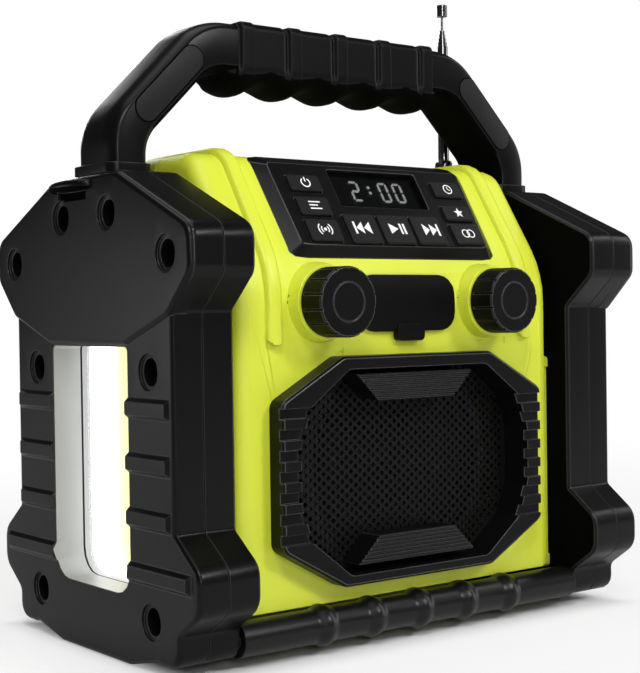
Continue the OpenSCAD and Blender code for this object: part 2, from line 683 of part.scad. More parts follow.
module control_panel() color(BLACK) on_panel() difference() {
    foot = mirrored(panel_half);
    depth = concat(panel_sink, reversed(panel_sink));
    skin([[for (p = foot) [p[0], p[1], -9]],
          [for (i = [0:13]) [foot[i][0], foot[i][1], -depth[i]]],
          [for (p = mirrored(face_half)) [p[0], p[1], 0]]]);
    box([room_x[0], room_s[0], -12], [room_x[1], room_s[1], -panel_wall]);
    for (b = buttons) translate([0, 0, -5]) linear_extrude(8) polygon(cap_outline(b, button_gap));
    translate([0, 0, -5]) linear_extrude(8) display_shape(0);
}

// A cap with a rolled edge, and a skirt behind the panel that keeps it in
module button(i) color(BLACK) on_panel() {
    b = buttons[i];
    rolled_slab(cap_outline(b, 0), [[skirt_n, 0], [button_out - cap_edge, 0], [button_out, cap_edge]]);
    translate([0, 0, skirt_n]) linear_extrude(skirt_t) polygon(cap_outline(b, skirt_out));
}
module button_power() button(0);
module button_mode() button(1);
module button_scan() button(2);
module button_previous() button(3);
module button_play() button(4);
module button_next() button(5);
module button_time() button(6);
module button_preset() button(7);
module button_pair() button(8);

// Board with a dome switch under each button and a block that backs the display
module button_board() color(GREEN) on_panel() {
    switch_h = skirt_n - button_travel - 0.1 - board_n;
    box([room_x[0] + 0.3, room_s[0] + 0.3, board_n - 1.4], [room_x[1] - 0.3, room_s[1] - 0.3, board_n]);
    for (b = buttons) translate([b[0], b[1], board_n - eps]) cylinder(r = 2, h = switch_h, $fn = 24);
    translate([display_x[0] + 1, display_s[0] + 1, board_n - eps])
        cube([display_x[1] - display_x[0] - 2, display_s[1] - display_s[0] - 2,
              -display_deep - 1.5 - board_n]);
}

module display_window() color("#101214", 0.5) on_panel() translate([0, 0, -display_deep - 1])
    linear_extrude(1) display_shape(-0.1);

// Seven-segment figures: [x0, y0, x1, y1] of each bar in a unit cell
segments = [[0, 2, 1, 2], [1, 1, 1, 2], [1, 0, 1, 1], [0, 0, 1, 0],
            [0, 0, 0, 1], [0, 1, 0, 2], [0, 1, 1, 1]];
figure_two = [0, 1, 6, 4, 3];
figure_zero = [0, 1, 2, 3, 4, 5];
cell_w = 4.3;
cell_h = 4.85;
segment_t = 0.95;
digits_x = [-9.6, 6.8, 15.1];
colon_x = 0.75;
digits_s = 26.9;

module segment(i) {
    s = segments[i];
    a = [s[0]*cell_w, s[1]*cell_h];
    b = [s[2]*cell_w, s[3]*cell_h];
    u = unit(b - a);
    v = left_of(u)*segment_t/2;
    end = u*0.25;
    cheek = u*(0.25 + segment_t/2);
    polygon([a + end, a + cheek - v, b - cheek - v, b - end, b - cheek + v, a + cheek + v]);
}

module display_digits() color("#c9cdd0") on_panel() translate([0, digits_s, -display_deep - 1.4])
    linear_extrude(0.3) {
        for (i = figure_two) translate([digits_x[0], 0]) segment(i);
        for (x = [digits_x[1], digits_x[2]]) for (i = figure_zero) translate([x, 0]) segment(i);
        for (k = [0.9, 1.5]) translate([colon_x, k*cell_h]) square(1.2, center = true);
    }

// ---- knobs -----------------------------------------------------------------------------------

bush_r = 4.5;
knob_gap = 0.35;
flat_cut = 0.8;

// A round with a flat, for a shaft and its bore
module d_shape(r) difference() {
    circle(r = r, $fn = 64);
    translate([-r, r - flat_cut]) square([2*r, flat_cut + 1]);
}

module knob() color(SOFT) translate([0, 0, collar_out + knob_gap]) {
    body_h = knob_len - knob_gap;
    ring_r = knob_r*0.57;
    difference() {
        union() {
            cylinder(r = knob_r, h = body_h - 0.6, $fn = 96);
            translate([0, 0, body_h - 0.6 - eps])
                cylinder(r1 = knob_r, r2 = knob_r - 0.6, h = 0.6 + eps, $fn = 96);
        }
        for (i = [0:knob_grooves - 1]) rotate((i + 0.5)*360/knob_grooves)
            translate([knob_r - 0.9, -0.45, 1.2]) cube([3, 0.9, knob_len]);
        translate([0, 0, body_h - 0.5]) difference() {
            cylinder(r = ring_r, h = 2, $fn = 64);
            translate([0, 0, -1]) cylinder(r = ring_r - 0.45, h = 4, $fn = 64);
        }
        translate([0, 0, -1]) cylinder(r = bush_r + 1, h = 4, $fn = 48);
        translate([0, 0, -1]) linear_extrude(knob_len - 2) d_shape(shaft_r);
    }
}

module shaft() color(STEEL) translate([0, 0, -3])
    linear_extrude(collar_out + knob_gap + knob_len - 0.5) d_shape(shaft_r);

// Rotary encoder: its bush passes the collar and its body sits behind the collar's wall
module encoder() color(STEEL) difference() {
    union() {
        translate([-6, -6, collar_out - wall - 9]) cube([12, 12, 9]);
        cylinder(r = bush_r, h = collar_out + 1.6, $fn = 48);
    }
    translate([0, 0, -4]) cylinder(r = shaft_r + 0.05, h = 20, $fn = 64);
}

module at_tuning() translate([-knob_x, front_y, knob_z]) rotate([90, 0, 0]) children();
module at_volume() translate([knob_x, front_y, knob_z]) rotate([90, 0, 0]) children();
module knob_tuning() at_tuning() knob();
module knob_volume() at_volume() knob();
module shaft_tuning() at_tuning() shaft();
module shaft_volume() at_volume() shaft();
module encoder_tuning() at_tuning() encoder();
module encoder_volume() at_volume() encoder();

// ---- ports -----------------------------------------------------------------------------------

cover_x = 26.5;
cover_low = bend_z - 25.3;
cover_top = bend_z - 1.4;
cover_t = 1.8;
cover_gap = 0.3;
port_x = 22.5;
port_inset = 3;

module port_shape(half, grow) polygon(rounded(rect(-half - grow, cover_low + port_inset - grow,
    half + grow, cover_top - port_inset + grow, 4)));

// Soft cover that hinges along its upper edge, with a pull tab below and a plug behind
module port_cover() color(SOFT) {
    intersection() {
        along_x(-cover_x - 1) linear_extrude(2*cover_x + 2) difference() {
            polygon(inset(body_outline, -cover_gap - cover_t));
            polygon(inset(body_outline, -cover_gap));
        }
        facing_front(front_y + 10) linear_extrude(20)
            polygon(rounded(rect(-cover_x, cover_low, cover_x, cover_top, 8)));
    }
    facing_front(front_y + 1.6) linear_extrude(1.6 + cover_gap + 0.4) port_shape(port_x - 0.6, -0.6);
    facing_front(front_y - cover_gap) linear_extrude(cover_t + 1.4)
        polygon(rounded(rect(-7.6, cover_low - 4, 7.6, cover_low + 3, 2), 3));
}

// Sockets behind the cover: a slot, a small jack and a power socket with its pin
module port_block() color(SOFT) difference() {
    deep = 12;
    facing_front(front_y + 11) linear_extrude(8.9) port_shape(port_x - 0.2, -0.2);
    facing_front(front_y + 8) linear_extrude(deep) translate([-12, knob_z])
        polygon(rounded(rect(-4.5, -1.6, 4.5, 1.6, 1.5)));
    translate([3, front_y + 9, knob_z]) rotate([90, 0, 0]) cylinder(r = 1.8, h = deep, $fn = 48);
    translate([14, front_y + 9, knob_z]) rotate([90, 0, 0]) difference() {
        cylinder(r = 2.8, h = deep, $fn = 48);
        cylinder(r = 0.8, h = 6, $fn = 24);
    }
}

// ---- loudspeaker -----------------------------------------------------------------------------

bezel_outline = rounded(both_sides([[41, speaker_z - bezel_z, 5], [bezel_x, speaker_z - bezel_z + 17.4, 5],
    [bezel_x, speaker_z + bezel_z - 17.4, 5], [41, speaker_z + bezel_z, 5]]));
opening_outline = rounded(both_sides([[38, speaker_z - bezel_z + 4.4, 5], [57.5, speaker_z - 27, 6],
    [63, speaker_z - 12.5, 14], [63, speaker_z + 12.5, 14], [57.5, speaker_z + 27, 6],
    [38, speaker_z + bezel_z - 5.4, 5]]));
sleeve_outline = inset(opening_outline, -2.2);
comb_pitch = 8.3;
comb_slot = 4.2;
comb_deep = 2.3;

// Frame of the grille, with a comb of shallow slots down each side
module speaker_bezel() color(BLACK) difference() {
    union() {
        facing_front(front_y) rolled_slab(bezel_outline, [[0, 0], [bezel_out - 1, 0], [bezel_out, 1]]);
        facing_front(front_y + grille_depth) linear_extrude(grille_depth + 1) polygon(sleeve_outline);
    }
    facing_front(front_y + grille_depth + 1) linear_extrude(bezel_out + grille_depth + 3)
        polygon(opening_outline);
    both_x() for (k = [-3:3]) let (z = speaker_z + k*comb_pitch)
        box([52, front_y - bezel_out - 1, z - comb_slot/2],
            [bezel_x + 1, front_y - bezel_out + comb_deep, z + comb_slot/2]);
}

row_pitch = hole_pitch*0.41;
rows = floor(bezel_z/row_pitch);
columns = ceil(bezel_x/hole_pitch);
module speaker_grille() color(SOFT) facing_front(flange_y) linear_extrude(1) difference() {
    polygon(sleeve_outline);
    intersection() {
        polygon(inset(opening_outline, 1));
        for (j = [-rows:rows]) for (i = [-columns:columns])
            translate([(i + (j%2 == 0 ? 0 : 0.5))*hole_pitch, speaker_z + j*row_pitch])
                rotate(45) square(hole_w, center = true);
    }
}

// Trapezium of louvres at the top of the opening, and its mirror image at the bottom
louvre_low = 28;
louvre_high = 39;
louvre_n = 7;
function louvre_x(z) = 21 + z - louvre_low;
module louvre_band(z0, z1) polygon([[-louvre_x(z0), speaker_z + z0], [louvre_x(z0), speaker_z + z0],
    [louvre_x(z1), speaker_z + z1], [-louvre_x(z1), speaker_z + z1]]);

module louvre() {
    step = (louvre_high - louvre_low)/louvre_n;
    facing_front(front_y + grille_depth) linear_extrude(grille_depth + 5.7)
        louvre_band(louvre_low, louvre_high);
    for (i = [0:louvre_n - 1]) let (z = louvre_low + i*step + 0.1)
        facing_front(front_y - 5.6) linear_extrude(0.9) louvre_band(z, z + step*0.55);
}

module grille_louvres() color(BLACK) {
    louvre();
    translate([0, 0, 2*speaker_z]) mirror([0, 0, 1]) louvre();
}

// Loudspeaker parts are turned round an axis that points forwards from the back of the grille
flange_y = front_y + grille_depth + 1;
module speaker_axis() translate([0, flange_y, speaker_z]) rotate([90, 0, 0]) children();
basket_r = flange_r - 4.7;
cone_r = basket_r - 6.7;
coil_r = 12.7;

module speaker_basket() color(STEEL) speaker_axis() difference() {
    rotate_extrude($fn = 96) polygon([[flange_r, 0], [flange_r, -1.2], [basket_r + 1.2, -1.2],
        [basket_r + 1.2, -6], [30, -21], [16, -21], [16, -19.8], [29.6, -19.8],
        [basket_r, -5.4], [basket_r, 0]]);
    for (a = [0:60:300]) rotate(a) translate([26, -6, -30]) cube([19, 12, 25]);
    for (a = [45:90:315]) rotate(a) translate([flange_r - 1.7, 0, -4]) cylinder(r = 1, h = 8, $fn = 20);
}
// Offsets [from the rim of the cone, height] round the rolled surround
surround_points = [[0.1, -3.4], [1.3, -2.4], [2.8, -1.4], [4.6, -2.2], [6.7, -3],
                   [6.7, -4.2], [3.6, -4.2], [2.6, -2.9], [1.9, -3.4], [0.1, -4.4]];
module speaker_surround() color(SOFT) speaker_axis() rotate_extrude($fn = 96)
    polygon([for (p = surround_points) [cone_r + p[0], p[1]]]);
module speaker_cone() color("#2a2a2a") speaker_axis() rotate_extrude($fn = 96)
    polygon([[0, -9.5], [6, -10.2], [coil_r - 0.4, -13.2], [cone_r, -4], [cone_r, -4.8], [coil_r, -14.6],
             [coil_r, -24], [coil_r - 0.4, -24], [coil_r - 0.4, -14], [5.8, -11.2], [0, -10.5]]);
magnet_r = 27;
magnet_t = 16;
magnet_deep = 37;
module speaker_magnet() color(STEEL) speaker_axis() translate([0, 0, -magnet_deep]) difference() {
    cylinder(r = magnet_r, h = magnet_t, $fn = 96);
    translate([0, 0, 3]) difference() {
        cylinder(r = coil_r + 0.5, h = magnet_t + 4, $fn = 64);
        translate([0, 0, -1]) cylinder(r = coil_r - 0.9, h = magnet_t + 6, $fn = 64);
    }
}

// ---- electronics -----------------------------------------------------------------------------

board_x = 62;
board_y = 12;
board_z = [80, 170];
cell_r = 9.2;
cell_len = 36;
cell_start = 14;

module main_board() color(GREEN) {
    front = board_y - 1.6;
    box([-board_x, front, board_z[0] - 6], [board_x, board_y, board_z[1] + 6]);
    box([-30, front - 5.4, 120], [-4, front + eps, 146]);
    box([12, front - 10.4, 96], [34, front + eps, 118]);
}
module battery_pack() color("#3c5a86") for (i = [-1.5:1:1.5])
    translate([i*(2*cell_r + 0.8), cell_start, body_bottom + wall + cell_r]) rotate([-90, 0, 0])
        cylinder(r = cell_r, h = cell_len, $fn = 48);

// ---- antenna ---------------------------------------------------------------------------------

antenna_x = inner_x + 5.8;
antenna_y = frame_top_y - 1.8;
seat_z = frame_h - 2;
swivel_r = 4.4;
stem_r = 2.5;
stem_len = 5;
cheek_r = 2.9;
tube_base = pivot_z + 4.2;
tube_gap = 0.05;
tube_step = 2;
mast_len = mast_stroke + 11;
rod_r = 0.65;
function tube_r(i) = mast_r - (i - 1)*(tube_wall + tube_gap);
function tube_top(i) = tube_base + mast_len + (i - 1)*tube_step;

module antenna_at(z) translate([antenna_x, antenna_y, z]) children();

// Turning base with a fork for the tilting pin
module antenna_swivel() color(STEEL) antenna_at(0) difference() {
    union() {
        translate([0, 0, seat_z - stem_len]) cylinder(r = stem_r, h = stem_len + 1, $fn = 48);
        translate([0, 0, seat_z + 0.1]) cylinder(r = swivel_r, h = pivot_z - seat_z - 6, $fn = 48);
        intersection() {
            translate([0, 0, seat_z + 1]) cylinder(r = swivel_r, h = pivot_z - seat_z + 2, $fn = 48);
            union() {
                box([-cheek_r, -swivel_r, seat_z + 1], [cheek_r, swivel_r, pivot_z]);
                translate([0, swivel_r, pivot_z]) rotate([90, 0, 0])
                    cylinder(r = cheek_r, h = 2*swivel_r, $fn = 48);
            }
        }
    }
    box([-swivel_r - 1, -1.5, pivot_z - 3.4], [swivel_r + 1, 1.5, pivot_z + 10]);
    translate([0, 10, pivot_z]) rotate([90, 0, 0]) cylinder(r = 1.05, h = 20, $fn = 32);
}
module antenna_knuckle() color(STEEL) antenna_at(pivot_z) {
    rotate([90, 0, 0]) translate([0, 0, -1.4]) cylinder(r = 2.7, h = 2.8, $fn = 48);
    box([-2.2, -1.4, 0], [2.2, 1.4, cheek_r + 0.5]);
    translate([0, 0, cheek_r + 0.3]) cylinder(r = mast_r, h = tube_base - pivot_z - cheek_r - 0.3, $fn = 48);
    rotate([90, 0, 0]) translate([0, 0, -swivel_r + 1]) cylinder(r = 1, h = 2*swivel_r - 2, $fn = 32);
}

// Tube i slides in tube i - 1; the first one has a floor
module tube(i) color("#9a9a9c") antenna_at(0) difference() {
    low = tube_base + (i - 1)*0.4;
    translate([0, 0, low]) cylinder(r = tube_r(i), h = tube_top(i) - low, $fn = 48);
    translate([0, 0, low + (i == 1 ? 0.4 : -1)])
        cylinder(r = tube_r(i) - tube_wall, h = 2*mast_len, $fn = 48);
}
module antenna_tube_1() tube(1);
module antenna_tube_2() tube(2);
module antenna_tube_3() tube(3);
module antenna_tube_4() tube(4);
module antenna_tube_5() tube(5);

// Solid rod with a foot that runs in the last tube and a knob that covers the nested tubes
module antenna_rod() color("#9a9a9c") antenna_at(0) {
    translate([0, 0, tube_base + 2.2]) cylinder(r = tube_r(5) - tube_wall - tube_gap, h = 4, $fn = 32);
    translate([0, 0, tube_base + 2.2]) cylinder(r = rod_r, h = tube_top(5) - tube_base + 6, $fn = 32);
    translate([0, 0, tube_top(5) + 7.2]) cylinder(r = mast_r, h = 5.6, $fn = 48);
}

// ---- the parts -------------------------------------------------------------------------------

front_shell();
rear_shell();
battery_cover();
side_box();
lamp_housing();
lamp_tray();
lamp_strip();
lamp_lens();
left_frame_outer();
left_frame_inner();
right_frame_outer();
right_frame_inner();
frame_screws();
shell_screws();
bottom_bar_front();
bottom_bar_rear();
handle_front();
handle_rear();
handle_grip();
handle_inlays();
handle_collars();
control_panel();
display_window();
display_digits();
button_board();
button_power();
button_mode();
button_scan();
button_previous();
button_play();
button_next();
button_time();
button_preset();
button_pair();
knob_tuning();
knob_volume();
shaft_tuning();
shaft_volume();
encoder_tuning();
encoder_volume();
port_cover();
port_block();
speaker_bezel();
speaker_grille();
grille_louvres();
speaker_basket();
speaker_surround();
speaker_cone();
speaker_magnet();
main_board();
battery_pack();
antenna_swivel();
antenna_knuckle();
antenna_tube_1();
antenna_tube_2();
antenna_tube_3();
antenna_tube_4();
antenna_tube_5();
antenna_rod();
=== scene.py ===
"""Jobsite radio: finishes, rounded edges, handle, strap ledges, printed marks, perforated sheet,
studio and camera."""
import json
import math

import bmesh
import bpy
import numpy as np
from mathutils import Matrix, Vector


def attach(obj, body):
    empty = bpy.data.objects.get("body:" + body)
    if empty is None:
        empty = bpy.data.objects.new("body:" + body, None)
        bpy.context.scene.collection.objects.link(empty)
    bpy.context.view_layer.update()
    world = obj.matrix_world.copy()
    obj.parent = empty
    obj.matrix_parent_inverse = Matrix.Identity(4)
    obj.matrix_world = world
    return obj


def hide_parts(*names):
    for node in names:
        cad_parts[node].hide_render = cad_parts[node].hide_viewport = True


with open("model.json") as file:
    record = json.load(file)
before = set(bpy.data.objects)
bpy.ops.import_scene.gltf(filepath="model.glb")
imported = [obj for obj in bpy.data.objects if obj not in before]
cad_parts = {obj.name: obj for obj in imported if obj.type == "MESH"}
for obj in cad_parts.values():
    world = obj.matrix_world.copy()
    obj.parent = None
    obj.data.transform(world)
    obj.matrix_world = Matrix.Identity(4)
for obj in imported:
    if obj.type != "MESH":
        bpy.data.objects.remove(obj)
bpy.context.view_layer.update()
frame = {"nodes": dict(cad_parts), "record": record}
nodes = frame["nodes"]
MM = 0.001


# ---- colours and nodes -------------------------------------------------------------------------

# Inputs of a Mix node that take two colours, and the output that gives their mix
FIRST, SECOND, MIXED = 6, 7, 2
# A noise texture keeps nearly all its values between these
NOISE_LOW, NOISE_HIGH = 0.3, 0.7
# Rings of a turned metal: how fast their noise runs in x, y and z, their depth in mm, and the
# factors by which they lower and raise the roughness
RING_STRETCH, RING_DEPTH, RING_GLOSS = (0.15, 0.15, 1.0), 0.004, (0.8, 1.25)
# Height of a diffuser's ridges in mm, and the radians that the wave texture runs through over one
# unit of its scale
RIDGE_HEIGHT, WAVE_TURN = 0.05, 20


def linear(colour):
    """The linear RGBA of an sRGB hex colour."""
    parts = [int(colour[i:i + 2], 16) / 255 for i in (1, 3, 5)]
    return [c / 12.92 if c <= 0.04045 else ((c + 0.055) / 1.055) ** 2.4 for c in parts] + [1.0]


def add(tree, kind, inputs=None, **settings):
    """A new node with its settings; an input is a value, or a socket that is linked to it."""
    node = tree.nodes.new(kind)
    for key, value in settings.items():
        setattr(node, key, value)
    for key, value in (inputs or {}).items():
        if isinstance(value, bpy.types.NodeSocket):
            tree.links.new(value, node.inputs[key])
        else:
            node.inputs[key].default_value = value
    return node


def per_mm(size):
    """The texture scale at which one feature is this many millimetres across."""
    return 1 / (size * MM)


def blank(name):
    """An empty material with its node tree and output."""
    material = bpy.data.materials.new(name)
    material.use_nodes = True
    tree = material.node_tree
    tree.nodes.clear()
    return material, tree, add(tree, "ShaderNodeOutputMaterial")


def moulded(name, colour, shade, roughness, grain, depth, patch=30, swing=0.05, gleam=0.5):
    """A moulded surface: broad patches between two close colours, and a fine grain that dents
    the surface and scatters the gloss. Grain and patch are in mm, and depth is the grain's.
    Gleam is how strongly a face reflects when it is looked at squarely, 0.5 for clean plastic."""
    material, tree, out = blank(name)
    place = add(tree, "ShaderNodeTexCoord").outputs["Object"]
    broad = add(tree, "ShaderNodeTexNoise", {"Vector": place, "Scale": per_mm(patch), "Detail": 2.0})
    fine = add(tree, "ShaderNodeTexNoise", {"Vector": place, "Scale": per_mm(grain), "Detail": 3.0,
                                            "Roughness": 0.6})
    tint = add(tree, "ShaderNodeMix", {"Factor": broad.outputs["Fac"], FIRST: linear(colour),
                                       SECOND: linear(shade)}, data_type="RGBA")
    gloss = add(tree, "ShaderNodeMapRange", {"Value": fine.outputs["Fac"], "From Min": NOISE_LOW,
                "From Max": NOISE_HIGH, "To Min": roughness - swing, "To Max": roughness + swing})
    bump = add(tree, "ShaderNodeBump", {"Height": fine.outputs["Fac"], "Distance": depth * MM,
                                        "Strength": 1.0})
    shader = add(tree, "ShaderNodeBsdfPrincipled", {"Base Color": tint.outputs[MIXED],
                 "Roughness": gloss.outputs["Result"], "Normal": bump.outputs["Normal"],
                 "Specular IOR Level": gleam})
    tree.links.new(shader.outputs["BSDF"], out.inputs["Surface"])
    return material


def turned(name, colour, shade, roughness, line, metallic=1.0):
    """A metal with fine rings round the vertical, as a lathe or a drawing die leaves them: noise
    with features of line mm, drawn out round the axis, shifts the colour, gloss and height."""
    material, tree, out = blank(name)
    place = add(tree, "ShaderNodeTexCoord").outputs["Object"]
    drawn_out = add(tree, "ShaderNodeMapping", {"Vector": place, "Scale": RING_STRETCH})
    rings = add(tree, "ShaderNodeTexNoise", {"Vector": drawn_out.outputs["Vector"],
                                             "Scale": per_mm(line), "Detail": 2.0})
    tint = add(tree, "ShaderNodeMix", {"Factor": rings.outputs["Fac"], FIRST: linear(colour),
                                       SECOND: linear(shade)}, data_type="RGBA")
    lower, raised = (roughness * factor for factor in RING_GLOSS)
    gloss = add(tree, "ShaderNodeMapRange", {"Value": rings.outputs["Fac"], "From Min": NOISE_LOW,
                "From Max": NOISE_HIGH, "To Min": lower, "To Max": raised})
    bump = add(tree, "ShaderNodeBump", {"Height": rings.outputs["Fac"],
                                        "Distance": RING_DEPTH * MM, "Strength": 0.6})
    shader = add(tree, "ShaderNodeBsdfPrincipled", {"Base Color": tint.outputs[MIXED],
                 "Metallic": metallic, "Roughness": gloss.outputs["Result"],
                 "Normal": bump.outputs["Normal"]})
    tree.links.new(shader.outputs["BSDF"], out.inputs["Surface"])
    return material


def glowing(name, colour, glow, strength, roughness, ridge):
    """A translucent diffuser, a moulding lit from behind. Soft ridges make the glow waver: their
    height is a sine of y that moves on by one radian every ridge mm."""
    material, tree, out = blank(name)
    place = add(tree, "ShaderNodeTexCoord").outputs["Object"]
    waves = add(tree, "ShaderNodeTexWave", {"Vector": place, "Scale": per_mm(ridge) / WAVE_TURN,
                "Distortion": 0.6, "Detail": 1.0}, bands_direction="Y")
    bump = add(tree, "ShaderNodeBump", {"Height": waves.outputs["Fac"],
                                        "Distance": RIDGE_HEIGHT * MM, "Strength": 0.5})
    tint = add(tree, "ShaderNodeMix", {"Factor": waves.outputs["Fac"], FIRST: linear(glow),
                                       SECOND: linear(colour)}, data_type="RGBA")
    shader = add(tree, "ShaderNodeBsdfPrincipled", {"Base Color": tint.outputs[MIXED],
                 "Roughness": roughness, "Normal": bump.outputs["Normal"],
                 "Emission Color": tint.outputs[MIXED], "Emission Strength": strength})
    tree.links.new(shader.outputs["BSDF"], out.inputs["Surface"])
    return material


def clear_lens():
    """Clear polycarbonate sheet: a thin film that lets the lamp through, with a sharp gloss and
    a faint haze from its moulding."""
    material, tree, out = blank("clear_polycarbonate")
    place = add(tree, "ShaderNodeTexCoord").outputs["Object"]
    haze = add(tree, "ShaderNodeTexNoise", {"Vector": place, "Scale": per_mm(8.0), "Detail": 2.0})
    gloss = add(tree, "ShaderNodeMapRange", {"Value": haze.outputs["Fac"], "From Min": NOISE_LOW,
                "From Max": NOISE_HIGH, "To Min": 0.06, "To Max": 0.12})
    tint = add(tree, "ShaderNodeMix", {"Factor": haze.outputs["Fac"], FIRST: linear("#F6F8F8"),
                                       SECOND: linear("#EEF1F1")}, data_type="RGBA")
    shader = add(tree, "ShaderNodeBsdfPrincipled", {"Base Color": tint.outputs[MIXED],
                 "Roughness": gloss.outputs["Result"], "Alpha": 0.16, "IOR": 1.58})
    tree.links.new(shader.outputs["BSDF"], out.inputs["Surface"])
    return material


def smoked_window():
    """Smoked acrylic sheet: nearly black with a slow drift in its colour, glossy, and thin enough
    for the figures to show."""
    material, tree, out = blank("smoked_acrylic")
    place = add(tree, "ShaderNodeTexCoord").outputs["Object"]
    cloud = add(tree, "ShaderNodeTexNoise", {"Vector": place, "Scale": per_mm(12.0), "Detail": 2.0})
    tint = add(tree, "ShaderNodeMix", {"Factor": cloud.outputs["Fac"], FIRST: linear("#060607"),
                                       SECOND: linear("#0A0A0B")}, data_type="RGBA")
    shader = add(tree, "ShaderNodeBsdfPrincipled", {"Base Color": tint.outputs[MIXED],
                 "Roughness": 0.05, "Alpha": 0.82, "IOR": 1.49})
    tree.links.new(shader.outputs["BSDF"], out.inputs["Surface"])
    return material


# ---- finishes ----------------------------------------------------------------------------------

# Most grains and drawing lines are finer on the real thing: they are drawn as coarse as they need
# to be to show
FINISHES = {
    # ABS, injection moulded in a spark-eroded mould: satin, with a very fine even grain
    "yellow_plastic": moulded("satin_yellow_abs", "#D9E33E", "#D3DE39", 0.40, 0.7, 0.012),
    # Polypropylene with a moulded leather-like grain: dark, with soft broad highlights
    "black_plastic": moulded("grained_black_polypropylene", "#090909", "#0C0C0C", 0.30, 0.8, 0.005,
                             swing=0.02, gleam=0.17),
    # Thermoplastic rubber moulded over a core: matt, with a dull sheen at the bands
    "black_rubber": moulded("matt_black_rubber", "#080808", "#0B0B0B", 0.36, 0.9, 0.01,
                            swing=0.03, gleam=0.12),
    # ABS from a polished mould with a light haze: smoother than the frames
    "panel_plastic": moulded("satin_black_abs", "#0A0A0A", "#0D0D0D", 0.36, 0.5, 0.006,
                             swing=0.03, gleam=0.13),
    # Silicone-coated ABS keys: satin and a shade lighter than the panel
    "button_plastic": moulded("satin_key_abs", "#1C1C1C", "#1F1F1F", 0.42, 0.5, 0.012, gleam=0.14),
    # Soft-touch paint over ABS: velvety, with a wide dull highlight
    "knob_plastic": moulded("soft_touch_coating", "#080808", "#0B0B0B", 0.50, 0.6, 0.010,
                            swing=0.03, gleam=0.09),
    # Steel sheet, punched and powder coated: fine orange peel
    "grille_metal": moulded("powder_coated_steel", "#0E0E0E", "#121212", 0.45, 0.6, 0.01, gleam=0.12),
    # Frosted polycarbonate over small lamps: an even white glow
    "lamp_white": glowing("frosted_white_polycarbonate", "#F4F4F2", "#FFFFFF", 3.0, 0.5, 3.0),
    # The same with a yellow dye: a pale and weaker glow
    "lamp_yellow": glowing("frosted_yellow_polycarbonate", "#EFEA96", "#F6F2A6", 0.35, 0.5, 2.0),
    # Liquid crystal figures lit from behind: pale, and bright enough for the smoked window
    "display_figures": glowing("liquid_crystal_figures", "#C9CBCE", "#D6D8DA", 12.0, 0.5, 0.6),
    # Steel, zinc plated and blackened: machined heads that glint darkly
    "steel": turned("blackened_zinc_screws", "#4A4A4C", "#5A5A5C", 0.38, 0.15),
    # Bright steel, turned: silvery, with rings that spread the highlight
    "shaft_steel": turned("turned_steel", "#A8A8AA", "#B6B6B8", 0.28, 0.12),
    # Tinned steel, pressed: pale and a little hazy
    "encoder_steel": turned("pressed_tinned_steel", "#8E8E90", "#A0A0A2", 0.35, 0.4),
    # Steel under a black coat: dull, with none of the metal's shine
    "basket_steel": turned("black_coated_steel", "#161617", "#1C1C1D", 0.45, 0.5, metallic=0.0),
    # Drawn brass tube, chrome plated: near mirror with faint drawing lines
    # Its grey is darker than chrome is: a painted reflection of the dark surroundings it mirrors
    "antenna_chrome": turned("chrome_plated_brass", "#7A7A7D", "#868689", 0.14, 0.1),
    # Turned brass, nickel plated: warmer and greyer than the chrome, and softer in its shine
    # Its dark grey is a painted reflection too, of the dark surroundings it mirrors
    "antenna_metal": turned("nickel_plated_brass", "#605E5B", "#6B6965", 0.25, 0.12),
    # Glass fibre board under a solder mask: glossy green, mottled by the tracks below
    "circuit_board": moulded("green_solder_mask", "#14532F", "#1B6A3D", 0.35, 1.2, 0.02, patch=4),
    # Nylon, injection moulded: an even dull black
    "port_plastic": moulded("black_socket_nylon", "#121212", "#161616", 0.50, 0.5, 0.010),
    # Butyl rubber, pressed: a soft black with a faint wide highlight
    "surround_rubber": moulded("butyl_rubber", "#121212", "#161616", 0.55, 0.6, 0.015),
    # Paper pulp, dyed and pressed: rough fibres that swallow the light
    "cone_paper": moulded("pressed_black_paper", "#1C1C1C", "#242424", 0.75, 0.8, 0.05, patch=6),
    # Cells in a shrunk sleeve: blue film with a light gloss
    "battery_cells": moulded("shrink_wrapped_cells", "#3A5A86", "#44669A", 0.35, 1.0, 0.01),
}
FINISHES["clear_plastic"] = clear_lens()
FINISHES["smoked_window"] = smoked_window()

# Pad-printed two-part ink: opaque, thin and slightly glossy
PRINTED_INK = moulded("white_pad_print", "#ECECEC", "#F4F4F4", 0.40, 0.4, 0.004, patch=5)

# Polypropylene at the edges of the frames, bars and collars, lighter: a painted highlight
HIGHLIGHT_PAINTED_EDGE = moulded("painted_highlight_polypropylene_edge", "#1C1C1C", "#242424", 0.30, 0.6, 0.006, gleam=0.3)

# ABS at the edges of the panel, the bezel, the louvres and the knobs, lighter still: a finer
# painted highlight
FINE_HIGHLIGHT_PAINTED_EDGE = moulded("painted_highlight_abs_edge", "#303030", "#3C3C3C", 0.28, 0.6, 0.004)
EDGE_HIGHLIGHT_PAINTS = {"black_plastic": HIGHLIGHT_PAINTED_EDGE, "panel_plastic": FINE_HIGHLIGHT_PAINTED_EDGE,
                 "knob_plastic": FINE_HIGHLIGHT_PAINTED_EDGE}

# Polypropylene, nearly black and without gloss: painted shade where the frames face the body,
# under the handle and the strap ledges, and in the grooves round the pads
SHADE_PAINTED_BLACK = moulded("painted_shade_black_polypropylene", "#050505", "#070707", 0.75, 0.8, 0.02, gleam=0.02)

# Light grey on the black wall of the lamp's window: painted light, for the lamp's glow on it
GLOW_PAINTED_WALL = moulded("painted_lamp_glow_grey", "#8E9090", "#868888", 0.45, 0.6, 0.01)

